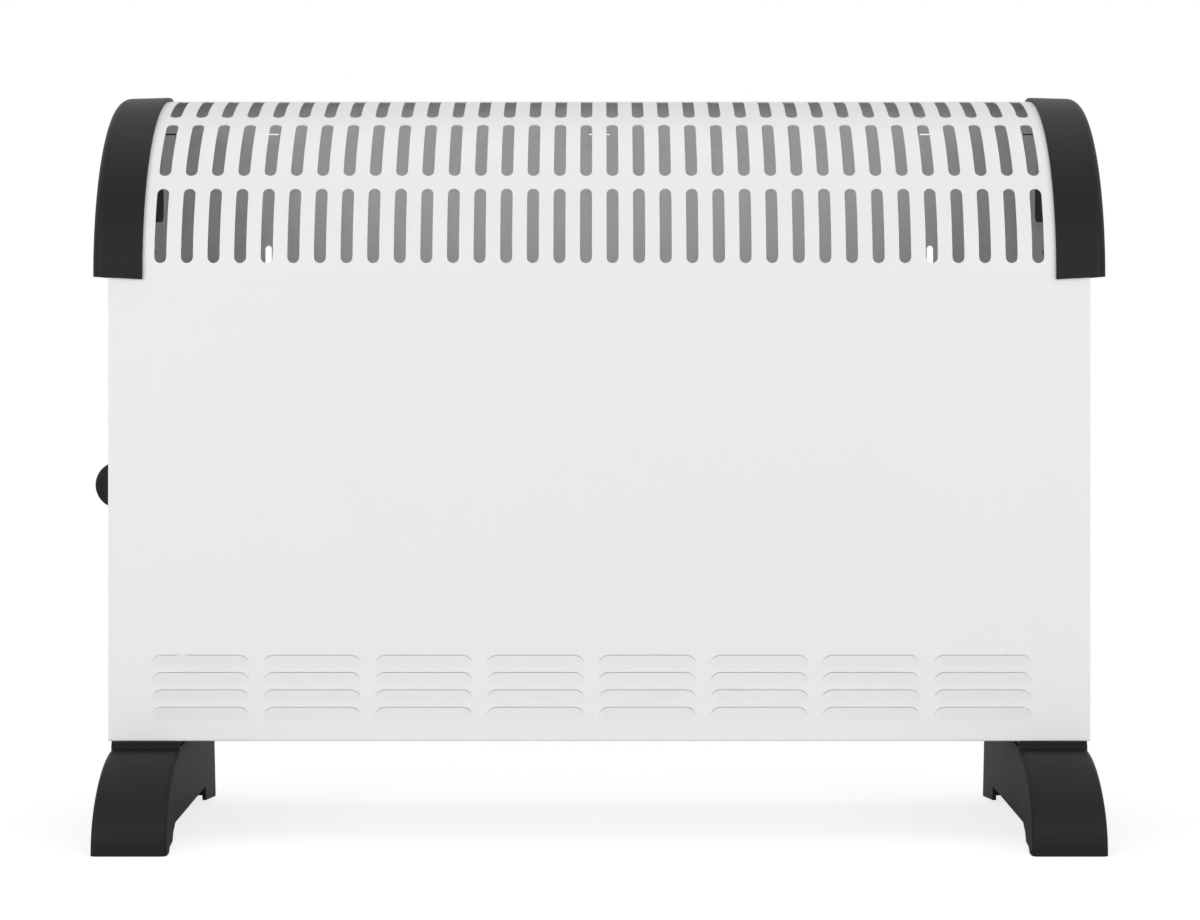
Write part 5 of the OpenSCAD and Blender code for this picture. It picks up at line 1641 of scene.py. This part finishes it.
@dataclass
class Controls:
    """The thermostat knob and the two rocker switches on the left-hand end."""

    skirt_r: float = 0.0165
    skirt_h: float = 0.0025
    skirt_edge: float = 0.0011
    skirt_bore: float = 0.0082
    grip_r: float = 0.014
    grip_t: float = 0.009
    grip_sink: float = 0.0004
    grip_edge: float = 0.0011
    hub_r: float = 0.0096
    hub_h: float = 0.0056
    hub_edge: float = 0.0006
    marks: int = 10
    turn: float = 270.0
    tick_in: float = 0.0019
    tick_out: float = 0.0012
    tick_half: float = 0.0003
    line_half: float = 0.0006
    line_start: float = 22.0
    line_step: float = 5.0
    line_steps: int = 10
    ink: float = 0.00008
    tick_lift: float = 0.00004
    line_lift: float = 0.00005
    bezel_w: float = 0.015
    bezel_h: float = 0.021
    bezel_edge: float = 0.0004
    wall: float = 0.001
    gap: float = 0.0003
    crown: float = 0.0032
    keel: float = 0.002
    tilt: float = 20.0
    rocker_edge: float = 0.0005
    end_share: float = 0.86
    mark_share: float = 0.55
    pin_r: float = 0.001
    pin_half: float = 0.006
    print_lift: float = 0.00003
    bar_w: float = 0.0005
    bar_l: float = 0.0026
    bar_r: float = 0.0002
    bar_t: float = 0.00005
    bar_steps: int = 2
    ring_r: float = 0.0013
    ring_inner_r: float = 0.0009
    ring_steps: int = 24
    skirt_steps: int = 72
    rim_steps: int = 5
    disc_steps: int = 40
    grip_edge_steps: int = 4
    rocker_steps: int = 6
    rocker_edge_steps: int = 3
    rocker_edge_deg: float = 30.0
    pin_steps: int = 24

    @staticmethod
    def _joint(name: str) -> Vector:
        """Place of the joint of that name."""
        return next(Vector(joint["pos_m"]) for joint in frame["joints"] if joint["name"] == name)

    def build(self) -> None:
        """Builds the knob with its pointer, and both switches."""
        self._knob()
        for which in ("front", "rear"):
            self._rocker(which)
            softened(f"{which}_switch_housing", f"{which}_switch_frame", Finishes.DARK, self.bezel_edge,
                     "dark_plastic")

    def _knob(self) -> None:
        """The knob: a round skirt with marks, a hub and a half-disc grip, with a printed pointer."""
        seat = self._joint("thermostat_turn")
        place = Matrix.Translation(seat) @ Matrix.Rotation(math.radians(-90.0), 4, "Y")
        middle = (self.skirt_r - self.skirt_edge, self.skirt_h - self.skirt_edge)
        skirt = [
            (self.skirt_bore, 0.0), (self.skirt_r, 0.0),
            *Shape.arc(middle, self.skirt_edge, 0, 90, self.rim_steps),
            (self.hub_r, self.skirt_h), (self.hub_r, self.hub_h - self.hub_edge),
            (self.hub_r - self.hub_edge, self.hub_h), (0.0, self.hub_h)]
        body = Bench.piece("skirt", *Shape.turned(skirt, self.skirt_steps), Finishes.KNOB)
        disc = Shape.arc((0.0, 0.0), self.grip_r, 0, 180, self.disc_steps)
        points, faces = Shape.raised(disc, -self.grip_t / 2, self.grip_t / 2)
        lifted = [(x, z, y + self.skirt_h - self.grip_sink) for x, y, z in points]
        grip = Bench.piece("grip", lifted, [tuple(reversed(f)) for f in faces], Finishes.KNOB)
        Bench.finish(grip, edge=self.grip_edge, steps=self.grip_edge_steps)
        Bench.finish(body)
        knob = Bench.join("thermostat_grip", [body, grip])
        Bench.place(knob, place)
        Bench.settle(knob, "knob", "knob_plastic", "thermostat_knob")
        self._pointer(place)

    def _pointer(self, place: Matrix) -> None:
        """The printed line on top of the grip and the ticks round the skirt.

        Args:
            place: The knob's place, with its axis along the local Z.
        """
        reach, lift = self.grip_r + self.line_lift, self.skirt_h - self.grip_sink
        points: list[Point] = []
        for i in range(self.line_steps + 1):
            a = math.radians(self.line_start + self.line_step * i)
            points += [
                (reach * math.cos(a), side * self.line_half, lift + reach * math.sin(a)) for side in (-1, 1)]
        faces = [(2 * i + 2, 2 * i + 3, 2 * i + 1, 2 * i) for i in range(self.line_steps)]
        line = Bench.piece("line", points, faces, Finishes.PRINT)
        points, high = [], self.skirt_h + self.tick_lift
        inner, outer = self.skirt_r - self.tick_in, self.skirt_r - self.tick_out
        for k in range(self.marks):
            a = math.radians(k * self.turn / (self.marks - 1))
            along, across = Vector((math.cos(a), math.sin(a), 0)), Vector((-math.sin(a), math.cos(a), 0))
            for r, way in ((inner, -1), (outer, -1), (outer, 1), (inner, 1)):
                spot = along * r + across * (way * self.tick_half)
                points.append((spot.x, spot.y, high))
        faces = [tuple(range(4 * k, 4 * k + 4)) for k in range(self.marks)]
        printed = Bench.join("thermostat_print", [line, Bench.piece("ticks", points, faces, Finishes.PRINT)])
        Bench.finish(printed, wall=self.ink)
        Bench.place(printed, place)
        Bench.settle(printed, "knob", "pale_plastic")

    def _rocker(self, which: str) -> None:
        """One rocker with a shallow V face, tilted to off, and its printed marks.

        Args:
            which: "front" or "rear".
        """
        pivot = self._joint(f"{which}_switch_rock")
        wide = self.bezel_w - 4 * self.wall - 2 * self.gap
        radius = (self.bezel_h - 4 * self.wall) / 2 - self.gap
        slope = math.radians(self.tilt / 2)
        rise = radius * math.tan(slope)
        end = math.asin((self.crown + rise * self.end_share) / radius)
        start = math.asin(self.keel / radius)
        right = Shape.arc((0, 0), radius, -math.degrees(start), math.degrees(end), self.rocker_steps)
        outline = [*right, (0.0, self.crown), *((-x, y) for x, y in reversed(right))]
        solid = Shape.raised(outline, -wide / 2, wide / 2)
        rocker = Bench.piece(f"{which}_rocker_cap", *solid, Finishes.KNOB)
        Bench.finish(rocker, edge=self.rocker_edge, angle=self.rocker_edge_deg, steps=self.rocker_edge_steps)
        upright = Matrix.Rotation(math.radians(90.0), 4, "X")
        lay = Matrix.Rotation(math.radians(-90.0), 4, "Y") @ upright
        place = Matrix.Translation(pivot) @ Matrix.Rotation(-slope, 4, "Y") @ lay
        Bench.place(rocker, place)
        low, high = -self.pin_half, self.pin_half
        pin = [(0, low), (self.pin_r, low), (self.pin_r, high), (0, high)]
        pins = Bench.piece("pins", *Shape.turned(pin, self.pin_steps), Finishes.KNOB)
        Bench.finish(pins)
        Bench.place(pins, Matrix.Translation(pivot) @ upright)
        Bench.join(rocker.name, [rocker, pins])
        Bench.settle(rocker, f"{which}_rocker_body", "rocker_plastic", f"{which}_rocker")
        grade = (right[-1][1] - self.crown) / right[-1][0]
        out = self.mark_share * radius
        for mark, way in ((Mark.BAR, 1), (Mark.RING, -1)):
            spot = Matrix.Translation((way * out, self.crown + out * grade + self.print_lift, 0))
            self._print(which, mark, place @ spot @ Matrix.Rotation(way * math.atan(grade), 4, "Z"))

    def _print(self, which: str, mark: Mark, place: Matrix) -> None:
        """A printed bar or ring on one half of a rocker.

        Args:
            which: "front" or "rear".
            mark: What is printed.
            place: Its place, with the face's outward direction along the local Y.
        """
        if mark is Mark.BAR:
            outline = Shape.rounded(self.bar_w, self.bar_l, self.bar_r, self.bar_steps)
            points, faces = Shape.raised([(y, x) for x, y in reversed(outline)], 0.0, self.bar_t)
        else:
            count = self.ring_steps
            radii = (self.ring_r, self.ring_inner_r)
            rings = [Shape.arc((0, 0), r, 0, 360 - 360 / count, count - 1) for r in radii]
            flat, faces = Shape.fill(rings, [], lambda x, y: math.hypot(x, y) > self.ring_inner_r)
            points = [(x, y, 0.0) for x, y in flat]
        printed = Bench.piece(f"{which}_rocker_{mark.value}", points, faces, Finishes.PRINT)
        Bench.place(printed, place @ Matrix.Rotation(math.radians(-90.0), 4, "X"))
        Bench.settle(printed, f"{which}_rocker_body", "pale_plastic")


def softened(node: str, name: str, finish: Finish, edge: float, slot: str, rounds: int = 0) -> None:
    """Replaces a node by a copy of its solid with its edges or its whole form rounded.

    Args:
        node: The node.
        name: The piece's name.
        finish: The piece's finish.
        edge: Width of its rounded edges.
        slot: The record's material slot.
        rounds: Levels of subdivision, for tubes.
    """
    source = frame["nodes"][node]
    obj = Bench.put(name, source.data.copy())
    obj.data.materials.clear()
    obj.data.materials.append(Finishes.get(finish))
    Bench.weld(obj)
    if rounds:
        smooth = obj.modifiers.new("round", "SUBSURF")
        smooth.levels = rounds
        smooth.render_levels = rounds
    else:
        flat = obj.modifiers.new("flat", "DECIMATE")
        flat.decimate_type = "DISSOLVE"
        flat.angle_limit = math.radians(FLAT_DEG)
    Bench.freeze(obj)
    Bench.finish(obj, edge=edge, angle=SOFT_DEG)
    Bench.settle(obj, body_of(source)[0], slot, node)


@dataclass
class Element:
    """The heating element: a wire stitched round each mica board."""

    turns: int = 24
    board_t: float = 0.001
    wire_r: float = 0.0005
    wire_gap: float = 0.0002
    notch: float = 0.002
    winding_side: float = 0.022
    rivet_side: float = 0.010
    rivet_head_r: float = 0.003
    board_over: float = 0.004
    bracket_t: float = 0.001
    joint_gap: float = 0.00005
    bend_r: float = 0.0006
    bend_steps: int = 3
    wire_sides: int = 10

    def build(self) -> None:
        """Builds both wires, each one unbroken tube along its stitches."""
        tree = Grow.tube()
        for which in ("front", "rear"):
            low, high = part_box(f"mica_board_{which}")
            curve = bpy.data.curves.new(f"{which}_element_wire", "CURVE")
            curve.dimensions = "3D"
            path = self._stitches(low, high)
            line = curve.splines.new("POLY")
            line.points.add(len(path) - 1)
            for point, place in zip(line.points, path):
                point.co = (*place, 1.0)
            wire = Bench.grow(Bench.put(curve.name, curve), tree, {
                "Radius": self.wire_r, "Bend": self.bend_r, "Steps": self.bend_steps,
                "Sides": self.wire_sides, "Material": Finishes.get(Finishes.WIRE)})
            wire.data.shade_smooth()
            Bench.settle(wire, "heater", "resistance_wire", f"heating_wire_{which}")

    def _stitches(self, low: Vector, high: Vector) -> list[Point]:
        """Corner points of a wire.

        Args:
            low: Lowest corner of its board.
            high: Highest corner of its board.

        Returns:
            The points.
        """
        x0 = low.x + self.board_over + self.winding_side
        x1 = high.x - self.board_over - self.bracket_t - self.winding_side
        pitch = (x1 - x0) / self.turns
        middle_y, middle_z = (low.y + high.y) / 2, (low.z + high.z) / 2
        off = self.board_t / 2 + self.wire_r + self.wire_gap
        top = high.z - self.notch + self.wire_r + self.wire_gap / 2
        bottom = low.z + self.notch - self.wire_r - self.wire_gap / 2
        clear = self.rivet_head_r + self.wire_r + self.joint_gap - self.rivet_side
        path = [(x0 + clear, middle_y - off, middle_z)]
        for k in range(self.turns):
            for share, side, z in ((0.0, -1, top), (0.5, -1, bottom), (0.5, 1, bottom), (1.0, 1, top)):
                path.append((x0 + (k + share) * pitch, middle_y + side * off, z))
        path.append((x1 - clear, middle_y + off, middle_z))
        return path


@dataclass
class Fittings:
    """Every node that keeps its solid: it gets its finish, and small ones get softer edges."""

    plain: dict[str, Finish] = field(default_factory=lambda: {
        "rear_panel": Finishes.WHITE,
        "left_side_plate": Finishes.SIDE,
        "right_side_plate": Finishes.SIDE,
        "base_plate": Finishes.ZINC,
        "heat_shield": Finishes.ZINC,
        "element_bracket_left": Finishes.ZINC,
        "element_bracket_middle": Finishes.ZINC,
        "element_bracket_right": Finishes.ZINC,
        "mica_board_front": Finishes.MICA,
        "mica_board_rear": Finishes.MICA,
        "element_terminals": Finishes.SCREW,
        "ceramic_bushes": Finishes.CERAMIC,
        "thermal_cutout": Finishes.DARK,
        "cutout_rivets": Finishes.SCREW,
        "thermal_fuse": Finishes.CERAMIC,
        "thermostat": Finishes.CERAMIC,
        "thermostat_spindle": Finishes.BRASS,
        "thermostat_nut": Finishes.SCREW,
        "control_tabs": Finishes.BRASS,
        "terminal_screws": Finishes.BRASS,
        "earth_screw": Finishes.SCREW,
    })
    block_edge: float = 0.0004

    def build(self) -> None:
        """Dresses the kept nodes and replaces a few by softened copies."""
        for node, finish in self.plain.items():
            obj = frame["nodes"][node]
            obj.data.materials.clear()
            obj.data.materials.append(Finishes.get(finish))
            LOG.info("%s: kept, in %s", node, finish.name)
        softened("terminal_block", "terminal_block_body", Finishes.PALE, self.block_edge, "pale_plastic")
        softened("cord_gland", "cord_gland_bush", Finishes.DARK, 0.0, "dark_plastic")
        sleeves = (
            ("leads_live", Finishes.BROWN, "brown_insulation"),
            ("leads_neutral", Finishes.BLUE, "blue_insulation"),
            ("lead_earth", Finishes.GREEN, "green_insulation"))
        for node, finish, slot in sleeves:
            softened(node, f"{node}_sleeves", finish, 0.0, slot, rounds=1)


@dataclass(frozen=True)
class Lamp:
    """A soft square lamp."""

    name: str
    place: Point
    size: float
    power: float

    def build(self, target: Point) -> None:
        """Makes the lamp, turned towards a target.

        Args:
            target: The place that it looks at.
        """
        data = bpy.data.lights.new(self.name, "AREA")
        data.shape = "SQUARE"
        data.size = self.size
        data.energy = self.power
        lamp = Bench.put(self.name, data)
        lamp.location = self.place
        aim = Vector(target) - Vector(self.place)
        lamp.rotation_euler = aim.to_track_quat("-Z", "Y").to_euler()


@dataclass
class Studio:
    """Floor, light and the camera at the photograph's angle."""

    sensor: float = 36.0
    lens: float = 81.3
    shift_x: float = 0.0006
    shift_y: float = -0.1162
    camera_back: float = 1.6205
    camera_height: float = 0.301
    clip_start: float = 0.05
    target: Point = (0.0, 0.0, 0.22)
    lamps: tuple[Lamp, ...] = (
        Lamp("key", (-2.1, -2.7, 0.5), 2.0, 51.0),
        Lamp("fill", (2.1, -2.7, 0.5), 2.0, 46.5),
        Lamp("top", (0.0, 0.2, 2.6), 1.6, 12.0))
    sky: float = 0.38
    floor_size: float = 12.0
    floor_lit: float = 0.82
    floor_seen: float = 0.4
    floor_glow: float = 0.78
    far_glow: float = 1.02
    far_start: float = 0.5
    far_run: float = 0.9

    def build(self) -> None:
        """Builds the camera, the world, the floor and the lamps."""
        self._camera()
        self._world()
        self._floor()
        for lamp in self.lamps:
            lamp.build(self.target)

    def _camera(self) -> None:
        """Makes the camera and sets it as the scene's."""
        data = bpy.data.cameras.new("camera")
        data.lens = self.lens
        data.sensor_width = self.sensor
        data.shift_x = self.shift_x
        data.shift_y = self.shift_y
        data.clip_start = self.clip_start
        camera = Bench.put("camera", data)
        camera.location = (0.0, -self.camera_back, self.camera_height)
        camera.rotation_euler = (math.radians(90.0), 0.0, 0.0)
        bpy.context.scene.camera = camera

    def _world(self) -> None:
        """A white world for camera, glossy and clear rays, and a soft grey one for light."""
        world = bpy.data.worlds.new("studio")
        world.use_nodes = True
        tree = Tree(world.node_tree)
        seen = tree.add("ShaderNodeLightPath", out="Is Camera Ray")
        for way in ("Is Glossy Ray", "Is Transmission Ray"):
            seen = seen.math("MAXIMUM", tree.add("ShaderNodeLightPath", out=way))
        soft = tree.add("ShaderNodeBackground", None, {"Color": grey(1.0), "Strength": self.sky})
        white = tree.add("ShaderNodeBackground", None, {"Color": grey(1.0), "Strength": 1.0})
        mixed = tree.add("ShaderNodeMixShader", None, {0: seen, 1: soft, 2: white})
        tree.add("ShaderNodeOutputWorld", None, {"Surface": mixed})
        bpy.context.scene.world = world

    def _floor(self) -> None:
        """A plain pale floor that keeps the heater's shadow and meets the white background."""
        half = self.floor_size / 2
        corners = [(x, y, 0) for x, y in Shape.slab(half, -half, half)]
        mesh = bpy.data.meshes.new("floor")
        mesh.from_pydata(corners, [], [(0, 1, 2, 3)])
        floor = Bench.put("floor", mesh)
        material = bpy.data.materials.new("pale_floor")
        material.use_nodes = True
        tree = Tree(material.node_tree)
        path = tree.add("ShaderNodeLightPath", out="Is Camera Ray")
        pale = tree.add("ShaderNodeBsdfDiffuse", None, {"Color": grey(self.floor_lit)})
        thin = tree.add("ShaderNodeBsdfDiffuse", None, {"Color": grey(self.floor_seen)})
        glow = tree.add("ShaderNodeEmission", None, {"Color": grey(1.0), "Strength": self.floor_glow})
        lit = tree.add("ShaderNodeAddShader", None, {0: thin, 1: glow})
        place = tree.add("ShaderNodeTexCoord", out="Object")
        away = tree.add("ShaderNodeVectorMath", {"operation": "LENGTH"}, {0: place}, out="Value")
        far = ((away - self.far_start) / self.far_run).between(0.0, 1.0)
        bright = tree.add("ShaderNodeEmission", None, {"Color": grey(1.0), "Strength": self.far_glow})
        faded = tree.add("ShaderNodeMixShader", None, {0: far, 1: lit, 2: bright})
        mixed = tree.add("ShaderNodeMixShader", None, {0: path, 1: pale, 2: faded})
        tree.add("ShaderNodeOutputMaterial", None, {"Surface": mixed})
        mesh.materials.append(material)


def main() -> None:
    """Builds the pieces in order, then the studio."""
    logging.basicConfig(level=logging.INFO, format="%(name)s: %(message)s")
    bpy.context.scene.view_settings.view_transform = "Standard"
    form = BodyForm()
    FrontSheet(form).build()
    for side in (-1, 1):
        EndCap(form, side).build()
        Foot(form, side).build()
    for node in ("cap_screws", "rear_screws"):
        Screws(node, (0.0, 1.0, 0.0)).build()
    Screws("base_screws", (0.0, 0.0, -1.0), head_h=0.0003, recess_deep=0.0002).build()
    Screws(
        "foot_screws", (0.0, 0.0, -1.0), head_r=0.0044, head_h=0.0024, shank_r=0.002, length=0.036,
        recess_w=0.0011, recess_l=0.0046, recess_deep=0.0015, solid_head_h=0.0024).build()
    Controls().build()
    Element().build()
    Fittings().build()
    Studio().build()


if __name__ == "__main__":
    main()
